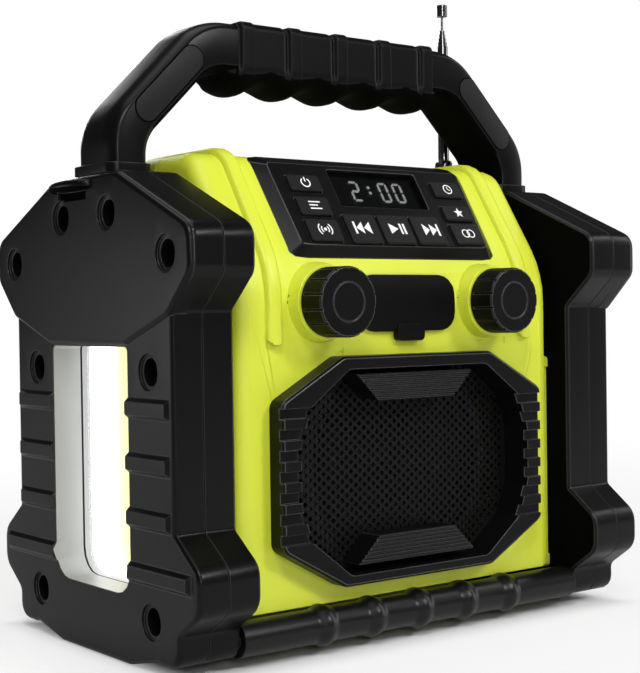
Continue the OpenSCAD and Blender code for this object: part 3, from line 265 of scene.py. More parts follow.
# Polypropylene of the bars between the feet, worn smooth: black and glossier than the frames
WORN_BAR = moulded("worn_black_polypropylene", "#0B0B0B", "#0E0E0E", 0.34, 0.8, 0.004,
                   swing=0.02, gleam=0.32)

# Rubber of the soft pads on the handle's arms: matt and a shade lighter than the grip, partly its
# own colour and partly a painted sheen
PAD_RUBBER = moulded("matt_grey_black_rubber", "#141414", "#171717", 0.48, 0.9, 0.01, gleam=0.2)

slot_of = {part["node"]: part["material_slot"] for part in frame["record"]["subparts"]}
body_of = {node: body for body, members in frame["record"]["behaviour"]["bodies"].items()
           for node in members}
for node, slot in slot_of.items():
    mesh = nodes[node].data
    mesh.materials.clear()
    mesh.materials.append(FINISHES[slot])
for node in ("bottom_bar_front", "bottom_bar_rear"):
    nodes[node].data.materials[0] = WORN_BAR


# ---- moulded edges -----------------------------------------------------------------------------

FRAMES = ("left_frame_outer", "left_frame_inner", "right_frame_outer", "right_frame_inner")
# How far each moulding's edges are rounded, in mm
EDGES = {
    0.35: [*FRAMES, "handle_collars", "bottom_bar_front", "bottom_bar_rear"],
    0.3: ["front_shell", "rear_shell", "control_panel", "speaker_bezel", "side_box", "battery_cover",
          "port_cover", "lamp_tray", "lamp_strip"],
    0.2: ["knob_tuning", "knob_volume", "grille_louvres"],
}
# Places of the finishes in a moulding's list: its own, and the painted highlight, shade and glow
OWN, EDGE, PAINTED_SHADE, PAINTED_GLOW = range(4)
# Two boxes in mm, as ranges of the distance from the middle of the radio, of y and of z: the
# walls of the lamp's window as far out as the posts' outer roll, painted with the lamp's glow, and
# the hollow under a ledge, painted with shade
WINDOW_WALLS = ((0.0, 120.4), (-31.05, 31.05), (27.25, 124.55))
LEDGE_HOLLOW = ((119.0, 121.95), (-4.0, 21.0), (183.8, 188.1))
# A face looks at the body if its normal has more than FACING of it along x, and is a wall of the
# window if it has less than EDGE_ON
FACING, EDGE_ON = 0.98, 0.3
# Points closer than WELD mm are one point, and edges shorter than SLIVER mm are closed
WELD, SLIVER = 0.004, 0.01
# Creases are rounded from ROUNDED degrees, and on the yellow mouldings they are sharp from SHARP
ROUNDED, SHARP = 32, 24


def faces_of(mesh):
    """The normals and the centres of a mesh's faces, as rows of x, y and z."""
    rows = []
    for key in ("normal", "center"):
        values = np.empty(len(mesh.polygons) * 3)
        mesh.polygons.foreach_get(key, values)
        rows.append(values.reshape(-1, 3))
    return rows


def in_box(centre, box):
    """Which centres lie in a box: each of |x|, y and z is between the ends of its range."""
    spot = np.column_stack([np.abs(centre[:, 0]), centre[:, 1:]])
    low, high = np.transpose(box) * MM
    return ((spot > low) & (spot < high)).all(axis=1)


def frame_finish(mesh, node):
    """The place of each face's finish on a frame half: painted shade where the inner half looks at
    the body and in the hollow under the ledge, painted lamp glow on the walls of the left window,
    else its own."""
    left = node.startswith("left")
    normal, centre = faces_of(mesh)
    inward = normal[:, 0] * (1 if left else -1)
    index = np.where((inward > FACING) & node.endswith("inner"), PAINTED_SHADE, OWN)
    index[in_box(centre, LEDGE_HOLLOW)] = PAINTED_SHADE
    if left:
        index[in_box(centre, WINDOW_WALLS) & (np.abs(inward) < EDGE_ON)] = PAINTED_GLOW
    return index.astype(np.int32)


def eased(node, width):
    """A copy of a node with its points welded, its surface shaded smooth and every crease rounded
    over this many mm, as a mould leaves it."""
    mesh = nodes[node].data.copy()
    work = bmesh.new()
    work.from_mesh(mesh)
    bmesh.ops.remove_doubles(work, verts=work.verts, dist=WELD * MM)
    bmesh.ops.dissolve_degenerate(work, dist=SLIVER * MM, edges=work.edges)
    work.to_mesh(mesh)
    work.free()
    mesh.shade_smooth()
    yellow = slot_of[node] == "yellow_plastic"
    if yellow:
        mesh.set_sharp_from_angle(angle=math.radians(SHARP))
    piece = bpy.data.objects.new(f"{node}_eased", mesh)
    bpy.context.scene.collection.objects.link(piece)
    rim = piece.modifiers.new("edges", "BEVEL")
    rim.width, rim.segments = width * MM, 2
    rim.limit_method, rim.angle_limit = "ANGLE", math.radians(ROUNDED)
    rim.use_clamp_overlap = False
    # The rounded creases of these mouldings take a lighter finish: a painted highlight
    if slot_of[node] in EDGE_HIGHLIGHT_PAINTS:
        mesh.materials.append(EDGE_HIGHLIGHT_PAINTS[slot_of[node]])
        rim.material = EDGE
    # The frames also take painted shade, and the left one a painted lamp glow on its window walls
    if node in FRAMES:
        mesh.materials.append(SHADE_PAINTED_BLACK)
        mesh.materials.append(GLOW_PAINTED_WALL)
        mesh.polygons.foreach_set("material_index", frame_finish(mesh, node))
    even = piece.modifiers.new("normals", "WEIGHTED_NORMAL")
    even.mode, even.weight, even.keep_sharp = "FACE_AREA", 100, yellow
    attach(piece, body_of[node])
    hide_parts(node)
    return piece


for width, members in EDGES.items():
    for node in members:
        eased(node, width)


# ---- meshes ------------------------------------------------------------------------------------

# The tip of a printed wedge is this wide, in mm
TIP = 0.001
# A skin takes painted shade where its normal points down by more than DOWN of it, and further
# than PAST_GRIP mm from the middle also where it points inwards by more than INWARD
DOWN, INWARD, PAST_GRIP = 0.35, 0.6, 60.0


def surface(name, points, faces, material, body):
    """An object at the origin from an array of points in mm and a list of faces."""
    mesh = bpy.data.meshes.new(name)
    spots = (np.asarray(points, float) * MM).tolist()
    mesh.from_pydata(spots, [], [[int(i) for i in face] for face in faces])
    mesh.materials.append(material)
    mesh.validate()
    mesh.update()
    piece = bpy.data.objects.new(name, mesh)
    bpy.context.scene.collection.objects.link(piece)
    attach(piece, body)
    return piece


def band(left, right, low, high):
    """A thin slab between two curves of as many points, from low to high: at each step a
    rectangle joins the curves, and the last and the first rectangle close the ends."""
    left, right = np.asarray(left, float), np.asarray(right, float)
    n = len(left)
    rows = [np.column_stack([curve, np.full(n, z)]) for curve, z in
            ((left, high), (right, high), (right, low), (left, low))]
    i = np.arange(n - 1)
    faces = [np.column_stack([a * n + i, b * n + i, b * n + i + 1, a * n + i + 1])
             for a, b in ((0, 1), (1, 2), (2, 3), (3, 0))]
    ends = np.array([[0, 3 * n, 2 * n, n], [n - 1, 2 * n - 1, 3 * n - 1, 4 * n - 1]])
    return np.vstack(rows), np.vstack(faces + [ends])


def stroke(path, width):
    """The two sides of a line along a path, each half the width off it, square to its run."""
    path = np.asarray(path, float)
    run = np.gradient(path, axis=0)
    run /= np.linalg.norm(run, axis=1)[:, None]
    side = np.column_stack([-run[:, 1], run[:, 0]]) * width / 2
    return path + side, path - side


def arc(x, y, r, start, stop, steps=24):
    """Points on a circle of radius r from one angle to another, in degrees."""
    a = np.radians(np.linspace(start, stop, steps))
    return np.column_stack([x + r * np.cos(a), y + r * np.sin(a)])


def bar(x0, y0, x1, y1, width):
    """A straight line with square ends."""
    return stroke([[x0, y0], [x1, y1]], width)


def wedge(x, y, w, h):
    """A triangle that points along x, or back if w is negative, with its base at x."""
    return [[x, y + h / 2], [x + w, y]], [[x, y - h / 2], [x + w, y - TIP]]


def joined(slabs):
    """Many slabs as one array of points and one of faces."""
    points, faces, base = [], [], 0
    for p, f in slabs:
        points.append(p)
        faces.append(f + base)
        base += len(p)
    return np.vstack(points), np.vstack(faces)


def skinned(name, groups, node, crease=40, stands_in=True):
    """Closed skins over groups of rings in mm, each ring with as many points, as one object that
    replaces a node or sits on it. A quad joins each two points to the next ring's, and a flat
    face closes each end. It is smooth but for creases sharper than the angle, with painted shade
    beneath."""
    points, faces, base = [], [], 0
    for rings in groups:
        k, n = rings.shape[:2]
        i, after = np.arange(n), (np.arange(n) + 1) % n
        rows = np.arange(k - 1)[:, None] * n
        quads = np.stack([rows + i, rows + after, rows + n + after, rows + n + i], axis=2)
        faces += (quads.reshape(-1, 4) + base).tolist()
        faces += [(i[::-1] + base).tolist(), (i + (k - 1) * n + base).tolist()]
        points.append(rings.reshape(-1, 3))
        base += k * n
    slot = slot_of[node]
    piece = surface(name, np.vstack(points), faces, FINISHES[slot], body_of[node])
    work = bmesh.new()
    work.from_mesh(piece.data)
    bmesh.ops.recalc_face_normals(work, faces=work.faces)
    work.to_mesh(piece.data)
    work.free()
    # Painted shade beneath, and on the inward faces past the grip
    piece.data.materials.append(SHADE_PAINTED_BLACK)
    normal, centre = faces_of(piece.data)
    x = centre[:, 0]
    inward = (-np.sign(x) * normal[:, 0] > INWARD) & (np.abs(x) > PAST_GRIP * MM)
    shaded = (normal[:, 2] < -DOWN) | (inward & stands_in)
    piece.data.polygons.foreach_set("material_index", shaded.astype(np.int32))
    piece.data.shade_smooth()
    piece.data.set_sharp_from_angle(angle=math.radians(crease))
    if stands_in:
        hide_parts(node)
    return piece


# ---- handle ------------------------------------------------------------------------------------

# Top, underside and half depth of the handle's bar
HANDLE_TOP, HANDLE_UNDER, HANDLE_Y = 260.5, 238.5, 15.5
# Where the rear half begins, and how far before it the front half ends
SEAM_Y, SEAM = 9.0, 0.25
# The rolled edge: how far in it reaches on the front and on the rear, and how deep it is
FRONT_ROLL, REAR_ROLL, ROLL_DEEP = 4, 6, 9
# Ends of the grip, the gap from there to an arm, and the distance from one band to the next
GRIP_ENDS, GRIP_GAP, BAND_PITCH = (-55.2, 54.7), 0.2, 25.5
# Outer and inner line of an arm, from the foot up: corners of x and z, and the radius at each
ARM_FOOT = 194.2
ARM_OUTER = [[117, ARM_FOOT], [117, 216], [72.5, HANDLE_TOP]], [28, 32]
ARM_INNER = [[98.5, ARM_FOOT], [98.5, 208], [68, HANDLE_UNDER]], [16, 16]


def rounded_line(corners, radii, steps=16):
    """Points along a line of straight runs, with an arc of the given radius at each inner corner:
    the arc's middle lies on the corner's bisector, and its points swing from one run to the next."""
    corners = np.asarray(corners, float)
    line = [corners[:1]]
    for a, b, c, r in zip(corners, corners[1:], corners[2:], radii):
        u, v = (b - a) / np.linalg.norm(b - a), (c - b) / np.linalg.norm(c - b)
        turn = math.acos(u @ v)
        centre = b + (v - u) / np.linalg.norm(v - u) * r / math.cos(turn / 2)
        start, stop = (b + d * r * math.tan(turn / 2) - centre for d in (-u, v))
        t = np.linspace(0, 1, steps)[:, None]
        swing = np.sin((1 - t) * turn) * start + np.sin(t * turn) * stop
        line.append(centre + swing / math.sin(turn))
    return np.vstack(line + [corners[-1:]])


def rolled_edge(across, steps=9):
    """A quarter ellipse from the side to the face, as rows of distance in from each of them."""
    a = np.radians(np.linspace(0, 90, steps))
    return np.column_stack([across * (1 - np.cos(a)), ROLL_DEEP * (1 - np.sin(a))])


def half_sections():
    """Sections of the handle's front and rear half, from the seam to the face, as rows of distance
    in from the side, and y. The rear roll is cut at the seam, and what lies before it goes to the
    front half."""
    front = rolled_edge(FRONT_ROLL) - [0, HANDLE_Y]
    rear = rolled_edge(REAR_ROLL) * [1, -1] + [0, HANDLE_Y]
    cut = [[np.interp(y, rear[:, 1], rear[:, 0]), y] for y in (SEAM_Y - SEAM, SEAM_Y)]
    before, after = rear[rear[:, 1] < SEAM_Y - SEAM], rear[rear[:, 1] > SEAM_Y]
    return np.vstack([cut[0], before[::-1], front]), np.vstack([cut[1], after])


def arms(half):
    """The rings of both arms. At each step along an arm a ring runs over the half section at the
    outer line, from the seam to the face, and back over its mirror image at the inner line."""
    end = GRIP_ENDS[1] + GRIP_GAP
    outer, inner = (rounded_line(corners + [[end, corners[-1][1]]], radii)
                    for corners, radii in (ARM_OUTER, ARM_INNER))
    middle, reach = (outer + inner) / 2, (outer - inner) / 2
    thick = np.linalg.norm(reach, axis=1)[:, None]
    ring = np.vstack([half, half[::-1]])
    side = np.repeat([1, -1], len(half))
    across = side * (thick - ring[:, 0])
    place = middle[:, None, :] + across[:, :, None] * (reach / thick)[:, None, :]
    deep = np.broadcast_to(ring[:, 1], across.shape)
    rings = np.stack([place[..., 0], deep, place[..., 1]], axis=2)
    return [rings, rings * [-1, 1, 1]]


front_half, rear_half = half_sections()
skinned("handle_front_arms", arms(front_half), "handle_front")
skinned("handle_rear_arms", arms(rear_half), "handle_rear")

# The grip's section: where its round underside begins, half its width, its top, the radius of the
# upper corners, the half width of the flat on top, and the power that fills out the underside
GRIP_MIDDLE, GRIP_WIDE, GRIP_TOP = 242.0, HANDLE_Y + 0.6, HANDLE_TOP + 0.1
GRIP_CORNER, GRIP_FLAT, FULLNESS = 3.2, 8, 0.85
# Finger rests: the height between two of them, the depth of each, and their shift along x
REST_TOP, REST_DEEP, REST_SHIFT = 234.9, 3.6, 0.6
# How far from a band's middle the grip has its rings, and the least gap from a ring to an end
BAND_RINGS = np.array([-12.7, -10, -8, -6.8, -6.2, -5.7, -5.2, -4.8, -4.4, -4.1, -3.8, -3.5, -3.2,
                       -2.9, -2.5, -2.1, -1.8, -1.5, -1.1, 0, 1.2, 2.4, 3.2, 3.5, 3.6, 3.7, 3.8,
                       4.2, 5.5, 7, 9, 11])
RING_GAP = 0.1
# Heights on the grip's section that are closer than this are one
TOUCH = 0.01
# How far the grip swells at a band: rows of distance from its middle, and swell, on top and beneath
BAND_ABOVE = ([-6.8, -6.0, -5.2, -4.6, -4.1, -3.7, -3.3, -2.9, -2.4, -1.9, -1.5, 3.4, 3.6, 3.75],
              [0, -0.06, -0.22, -0.5, -0.8, -0.95, -0.95, -0.6, 0, 0.4, 0.5, 0.5, 0.42, 0])
BAND_BELOW = ([-10, -4, 0, 3.4, 3.6, 3.75], [0, 0.15, 0.4, 0.5, 0.42, 0])
# The swell changes from the lower one to the upper one over this height
BLEND_FROM, BLEND_OVER = 237.5, 4.5


def grip_skin():
    """The soft sleeve as rings along x: at each band a groove, a chamfer and a raised strap that
    ends in a sharp step, and between bands a round finger rest below. A ring has a bowl below, a
    quarter ellipse raised to a power, then a straight side, a round corner and a flat top."""
    start, stop = GRIP_ENDS
    x = (np.arange(-2, 3)[:, None] * BAND_PITCH + BAND_RINGS).ravel()
    x = np.concatenate([[start], x[(x > start + RING_GAP) & (x < stop - RING_GAP)], [stop]])
    u = (x + BAND_PITCH / 2) % BAND_PITCH - BAND_PITCH / 2
    upper, lower = np.interp(u, *BAND_ABOVE), np.interp(u, *BAND_BELOW)
    low = REST_TOP - REST_DEEP * (1 + np.cos(2 * np.pi * (x - REST_SHIFT) / BAND_PITCH)) / 2
    shoulder = np.array([GRIP_WIDE - GRIP_CORNER, GRIP_TOP - GRIP_CORNER])
    a, b = np.radians(np.linspace(0, 90, 7)), np.radians(np.linspace(90, 0, 19))
    corner = shoulder + GRIP_CORNER * np.column_stack([np.cos(a), np.sin(a)])
    bowl = np.column_stack([np.cos(b), np.sin(b)]) ** FULLNESS
    heights = np.linspace(GRIP_MIDDLE + 1, shoulder[1] - 0.5, 6)
    upright = np.column_stack([np.full(len(heights), GRIP_WIDE), heights])
    rings = []
    for place, up, down, depth in zip(x, upper, lower, low):
        below = bowl * [GRIP_WIDE, depth - GRIP_MIDDLE] + [0, GRIP_MIDDLE]
        half = np.vstack([below[1:], upright, corner, [[GRIP_FLAT, GRIP_TOP], [0, GRIP_TOP]]])
        y, z = half.T
        out = np.column_stack([y >= shoulder[0], z > shoulder[1] - TOUCH]).astype(float)
        under = z < GRIP_MIDDLE
        out[under] = (half[under] - [0, GRIP_MIDDLE]) / [GRIP_WIDE, GRIP_MIDDLE - depth]
        share = np.clip((z - BLEND_FROM) / BLEND_OVER, 0, 1)
        half = half + out * (share * up + (1 - share) * down)[:, None]
        ring = np.vstack([half, (half * [-1, 1])[-2::-1], [[0, half[0, 1]]]])
        rings.append(np.column_stack([np.full(len(ring), place), ring]))
    return np.array(rings)


# The chin under each end of the grip: how far it laps the grip, where it ends, its height where it
# starts, how far above the arm's underside it ends, its top, half its width, and how much of that
# it loses
CHIN_LAP, CHIN_END, CHIN_LOW, CHIN_RISE = 0.3, 64.0, 232.2, 0.8
CHIN_TOP, CHIN_WIDE, CHIN_TAPER = 241.5, 14.6, 2.6


def grip_chin(side):
    """The end of the first finger rest, where it runs out under the arm: bowls like the grip's
    own, which rise along half a cosine wave and narrow evenly."""
    steps, points = 14, 25
    x = np.linspace(abs(GRIP_ENDS[side > 0]) - CHIN_LAP, CHIN_END, steps)
    t = (x - x[0]) / (x[-1] - x[0])
    low = CHIN_LOW + (HANDLE_UNDER + CHIN_RISE - CHIN_LOW) * (1 - np.cos(np.pi * t)) / 2
    a = np.radians(np.linspace(0, 180, points))
    rings = [np.column_stack([np.full(points, place * side),
                              (CHIN_WIDE - CHIN_TAPER * s) * np.cos(a),
                              CHIN_TOP - (CHIN_TOP - depth) * np.sin(a) ** FULLNESS])
             for place, depth, s in zip(x, low, t)]
    return np.array(rings)


# A pad's middle in x and z, half the length of its straight sides and the radius of its ends
PAD_MIDDLE, PAD_HALF, PAD_ROUND = np.array([89.0, 231.55]), 15.3, 6.0
# Its rim from the back to the face: y, and how far the outline grows there
PAD_RIM = ((-14.9, 0), (-15.56, 0), (-15.56, -0.55), (-15.72, -0.6), (-15.78, -0.85))
# The rim behind this y is the groove round the pad, which takes painted shade
PAD_GROOVE = -15.7


def pad(side):
    """A soft pad let into the front of one arm: two half circles, joined by straight sides that
    slope down at 45 degrees, are carried over the steps of its rolled rim."""
    step = 7.5
    a = np.radians(np.arange(0, 360, step) + step / 2)
    run, across = np.array([1, -1]) / math.sqrt(2), np.array([1, 1]) / math.sqrt(2)
    rings = []
    for y, grow in PAD_RIM:
        r = PAD_ROUND + grow
        shape = (PAD_HALF * np.sign(np.cos(a)) + r * np.cos(a))[:, None] * run
        shape = PAD_MIDDLE + shape + (r * np.sin(a))[:, None] * across
        rings.append(np.column_stack([shape[:, 0] * side, np.full(len(a), y), shape[:, 1]]))
    return np.array(rings)


pads = skinned("arm_pads", [pad(-1), pad(1)], "handle_inlays")
pads.data.materials[0] = PAD_RUBBER
# Painted shade in the groove round each pad
groove_shade = faces_of(pads.data)[1][:, 1] > PAD_GROOVE * MM
pads.data.polygons.foreach_set("material_index", groove_shade.astype(np.int32))
skinned("grip_sleeve", [grip_skin(), grip_chin(-1), grip_chin(1)], "handle_grip", crease=50)


# ---- strap ledges ------------------------------------------------------------------------------

# Where a ledge leaves the frame, its middle in y and z, how far it stands out and half its length
LEDGE_X, LEDGE_Y, LEDGE_Z = 121.0, 8.5, 189.6
LEDGE_OUT, LEDGE_HALF = 7.5, 15.0
# The lip's section: half its width and half its height, and how far its middle is drawn in
LIP_WIDE, LIP_HIGH, LIP_IN = 1.7, 2.1, 1.1


def ledge_lip(side):
    """A rolled lip round the ledge: an oval section carried along half an ellipse, and turned at
    each step to stand square to it."""
    a = np.radians(np.linspace(-90, 90, 41))
    turn = np.radians(np.arange(0, 360, 18))
    edge = np.column_stack([LEDGE_OUT * np.cos(a), LEDGE_HALF * np.sin(a)])
    out = np.column_stack([LEDGE_HALF * np.cos(a), LEDGE_OUT * np.sin(a)])
    out /= np.linalg.norm(out, axis=1)[:, None]
    reach = LIP_WIDE * np.cos(turn) - LIP_IN
    plan = edge[:, None, :] + out[:, None, :] * reach[None, :, None]
    high = np.broadcast_to(LEDGE_Z + LIP_HIGH * np.sin(turn), plan.shape[:2])
    return np.stack([(plan[..., 0] + LEDGE_X) * side, plan[..., 1] + LEDGE_Y, high], axis=2)


skinned("ledge_lips_left", [ledge_lip(-1)], "left_frame_outer", stands_in=False)
skinned("ledge_lips_right", [ledge_lip(1)], "right_frame_outer", stands_in=False)


# ---- marks on the keys -------------------------------------------------------------------------

# Slope of the panel, where it starts in y and z, how far up the slope the panel's own edge lies,
# and how far the panel stands out
SLANT = math.radians(57)
PANEL_ORIGIN = (-58.0, 153.8)
PANEL_START, PANEL_OUT = 10.8, 3.2
# How far the keys stand out of the panel, and half the thickness of the ink
KEY_OUT, INK = 1.6, 0.04
# Widths of a plain line, of a ring and of the upright next to a triangle
LINE, RING, UPRIGHT = 0.62, 0.55, 1.1
# The keys beside the display in x, and the row below it up the slope
KEYS_LEFT, KEYS_RIGHT, KEY_ROW = -38.4, 42, 8
# Radius of a star's inner corners, and of the point in its middle, for a star of radius 1
STAR_INNER, STAR_MIDDLE = 0.42, 0.02


def on_panel(points):
    """From width, distance up the slant and height over the panel to the radio's own axes."""
    x, s, n = np.asarray(points, float).T
    s, n = s + PANEL_START, n + PANEL_OUT
    return np.column_stack([x, PANEL_ORIGIN[0] + s * math.cos(SLANT) - n * math.sin(SLANT),
                            PANEL_ORIGIN[1] + s * math.sin(SLANT) + n * math.cos(SLANT)])


def star(r, points=5):
    """A star, as a band between its rim, which steps out and in by turns, and its middle."""
    k = np.arange(2 * points + 1)
    radius = np.where(k % 2 == 0, r, r * STAR_INNER)
    a = np.pi / 2 + k * np.pi / points
    rim = np.column_stack([radius * np.cos(a), radius * np.sin(a)])
    return rim, rim * STAR_MIDDLE


# Each key's place on the panel, and its mark
KEYS = {
    "power": (KEYS_LEFT, 31, [stroke(arc(0, -0.2, 2.2, 125, 415), LINE), bar(0, 0.2, 0, 2.6, LINE)]),
    "mode": (KEYS_LEFT, 19, [bar(-3, y, end, y, LINE) for y, end in ((1.7, 3), (0, 1.4), (-1.7, 3))]),
    "scan": (KEYS_LEFT, 6.7, [stroke(arc(0, 0, r, a, b, 16), 0.6) for r in (1.9, 3.4)
                              for a, b in ((-48, 48), (132, 228))]
             + [stroke(arc(0, 0, 0.4, 0, 360), 0.8)]),
    "previous": (-17.2, KEY_ROW, [wedge(-0.6, 0, -3.6, 6.2), wedge(3.5, 0, -3.6, 6.2),
                                  bar(-4.9, -3.1, -4.9, 3.1, UPRIGHT)]),
    "play": (1.2, KEY_ROW, [wedge(-4.2, 0, 4.6, 5.4), bar(2.0, -2.7, 2.0, 2.7, UPRIGHT),
                            bar(4.0, -2.7, 4.0, 2.7, UPRIGHT)]),
    "next": (19.6, KEY_ROW, [wedge(0.6, 0, 3.6, 6.2), wedge(-3.5, 0, 3.6, 6.2),
                             bar(4.9, -3.1, 4.9, 3.1, UPRIGHT)]),
    "time": (KEYS_RIGHT, 31.1, [stroke(arc(0, 0, 2.3, 0, 360), RING),
                                stroke([[0, 1.5], [0, 0], [1.2, -0.6]], 0.5)]),
    "preset": (KEYS_RIGHT, 18, [star(2.8)]),
    "pair": (KEYS_RIGHT, 6.6, [stroke(arc(x, 0, 2.0, 0, 360), RING) for x in (-1.5, 1.5)]),
}
for key, (x, s, shapes) in KEYS.items():
    points, faces = joined([band(a, b, KEY_OUT - INK, KEY_OUT + INK) for a, b in shapes])
    points[:, 0] += x
    points[:, 1] += s
    surface(f"mark_{key}", on_panel(points), faces, PRINTED_INK, f"{key}_key")


# ---- raised marks under the knobs --------------------------------------------------------------

# The body's front, how far a sign stands out of it and how far it is sunk in
FRONT_Y, RAISED, SUNK = -58.0, 0.25, 0.3
# Middle and height of the signs under each knob; the minus and the plus are SIGN_OUT from the
# middle, with arms of SIGN_ARM and lines of SIGN_LINE
KNOB_SIGNS = ((-41.5, 121.2), (51.0, 123.4))
SIGN_OUT, SIGN_ARM, SIGN_LINE = 7.1, 1.5, 0.5


def on_front(points):
    """From width, height and distance in front of the body to the radio's own axes."""
    x, z, n = np.asarray(points, float).T
    return np.column_stack([x, FRONT_Y - n, z])


raised = []
for middle, z in KNOB_SIGNS:
    minus, plus = middle - SIGN_OUT, middle + SIGN_OUT
    raised += [bar(x - SIGN_ARM, z, x + SIGN_ARM, z, SIGN_LINE) for x in (minus, plus)]
    raised.append(bar(plus, z - SIGN_ARM, plus, z + SIGN_ARM, SIGN_LINE))
points, faces = joined([band(a, b, -SUNK, RAISED) for a, b in raised])
surface("knob_signs", on_front(points), faces, FINISHES["yellow_plastic"], "cabinet")


# ---- perforated sheet --------------------------------------------------------------------------

# Height of the loudspeaker's middle, and the front and the back of the sheet
SPEAKER_Z = 72.4
SHEET_Y = (-52.0, -51.0)
# Distance between the cells of a row, and between the rows
PITCH_X, PITCH_Z = 4.8, 1.98
# Half the lattice's columns and rows
COLUMNS, ROWS = 16, 24
# Half the width of a hole, and how far out its sides lie, where 0.71 is a sharp diamond and 1 is round
HOLE_R, HOLE_SIDES = 1.18, 0.84
# Cells are kept to LAP past the opening's edge, and have a hole from MARGIN inside it
LAP, MARGIN = 2.4, 0.9
# Size of the point in the middle of a cell with no hole, as a share of the cell
BLANK = 0.02
# The opening's right half about its middle, from the bottom up
OPENING = np.array([[38, -42.3], [57.5, -27], [63, -12.5], [63, 12.5], [57.5, 27], [38, 41.3]])


def inside_by(points, margin):
    """Which points lie in the opening, with their least distance to its sides above the margin."""
    outline = np.vstack([OPENING, OPENING[::-1] * [-1, 1]])
    run = np.roll(outline, -1, axis=0) - outline
    run /= np.linalg.norm(run, axis=1)[:, None]
    inward = np.column_stack([-run[:, 1], run[:, 0]])
    depth = np.einsum("pij,ij->pi", points[:, None, :] - outline[None], inward)
    return depth.min(axis=1) > margin


def perforated():
    """Cells on a lattice, each a rhombus round a diamond hole with rounded corners. A cell is a
    ring of eight quads in front, eight through the hole and eight behind; those next to the
    edge have no hole."""
    i, j = np.meshgrid(np.arange(-COLUMNS, COLUMNS + 1), np.arange(-ROWS, ROWS + 1))
    centres = np.column_stack([((i + (j % 2) / 2) * PITCH_X).ravel(), (j * PITCH_Z).ravel()])
    centres = centres[inside_by(centres, -LAP)]
    holed = inside_by(centres, MARGIN)
    half = np.array([PITCH_X / 2, PITCH_Z])
    corners = np.array([[1, 0], [0.5, 0.5], [0, 1], [-0.5, 0.5], [-1, 0], [-0.5, -0.5], [0, -1],
                        [0.5, -0.5]]) * half
    n = len(corners)
    a = np.radians(np.arange(n) * 45)
    rim = np.column_stack([np.cos(a), np.sin(a)]) * HOLE_R
    rim[1::2] *= HOLE_SIDES
    k, after = np.arange(n), (np.arange(n) + 1) % n
    cell = np.vstack([np.column_stack([r * n + k, r * n + after, (r + 1) * n + after, (r + 1) * n + k])
                      for r in range(3)])
    points, faces, base = [], [], 0
    front, back = SHEET_Y
    for group, inner in ((centres[holed], rim), (centres[~holed], corners * BLANK)):
        rings = [(corners, front), (inner, front), (inner, back), (corners, back)]
        blocks = [np.column_stack([(group[:, None, :] + ring[None]).reshape(-1, 2),
                                   np.full(len(group) * n, y)]).reshape(len(group), n, 3)
                  for ring, y in rings]
        points.append(np.concatenate(blocks, axis=1).reshape(-1, 3))
        first = np.arange(len(group))[:, None, None] * len(rings) * n
        faces.append((first + cell[None]).reshape(-1, 4) + base)
        base += len(group) * len(rings) * n
    points = np.vstack(points)
    points = np.column_stack([points[:, 0], points[:, 2], points[:, 1] + SPEAKER_Z])
    return closed_rim(points, np.vstack(faces))


def closed_rim(points, faces):
    """Welds equal points, then joins each free edge in front to the one behind it by a wall. In
    the order of x, then z, then y, each point in front comes just before the one behind it."""
    points, where = np.unique(np.round(points, 4), axis=0, return_inverse=True)
    faces = where.reshape(-1)[faces]
    edges = np.stack([faces, np.roll(faces, -1, axis=1)], axis=2).reshape(-1, 2)
    code = edges[:, 0] * len(points) + edges[:, 1]
    free = edges[~np.isin(code, edges[:, 1] * len(points) + edges[:, 0])]
    free = free[(points[free, 1] == SHEET_Y[0]).all(axis=1)]
    order = np.lexsort((points[:, 1], points[:, 2], points[:, 0]))
    behind = order[np.argsort(order)[free] + 1]
    walls = np.column_stack([free[:, 1], free[:, 0], behind[:, 0], behind[:, 1]])
    return points, np.vstack([faces, walls])


points, faces = perforated()
sheet = surface("perforated_sheet", points, faces, FINISHES["grille_metal"], "cabinet")
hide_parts("speaker_grille")


# ---- studio ------------------------------------------------------------------------------------

# Half the floor's width, and its height just under the feet, in m
FLOOR_HALF, FLOOR_Z = 6.0, -0.0003
# Half width and half depth of the radio on the floor, in m
FOOTPRINT = (0.118, 0.072, 0.0)
# The floor turns white for the camera in two stretches: each starts and ends at a distance in m
# past the footprint, and adds its share of the white
FADES = ((-0.012, 0.012, 0.72), (0.05, 0.7, 0.28))
WHITE = linear("#FFFFFF")


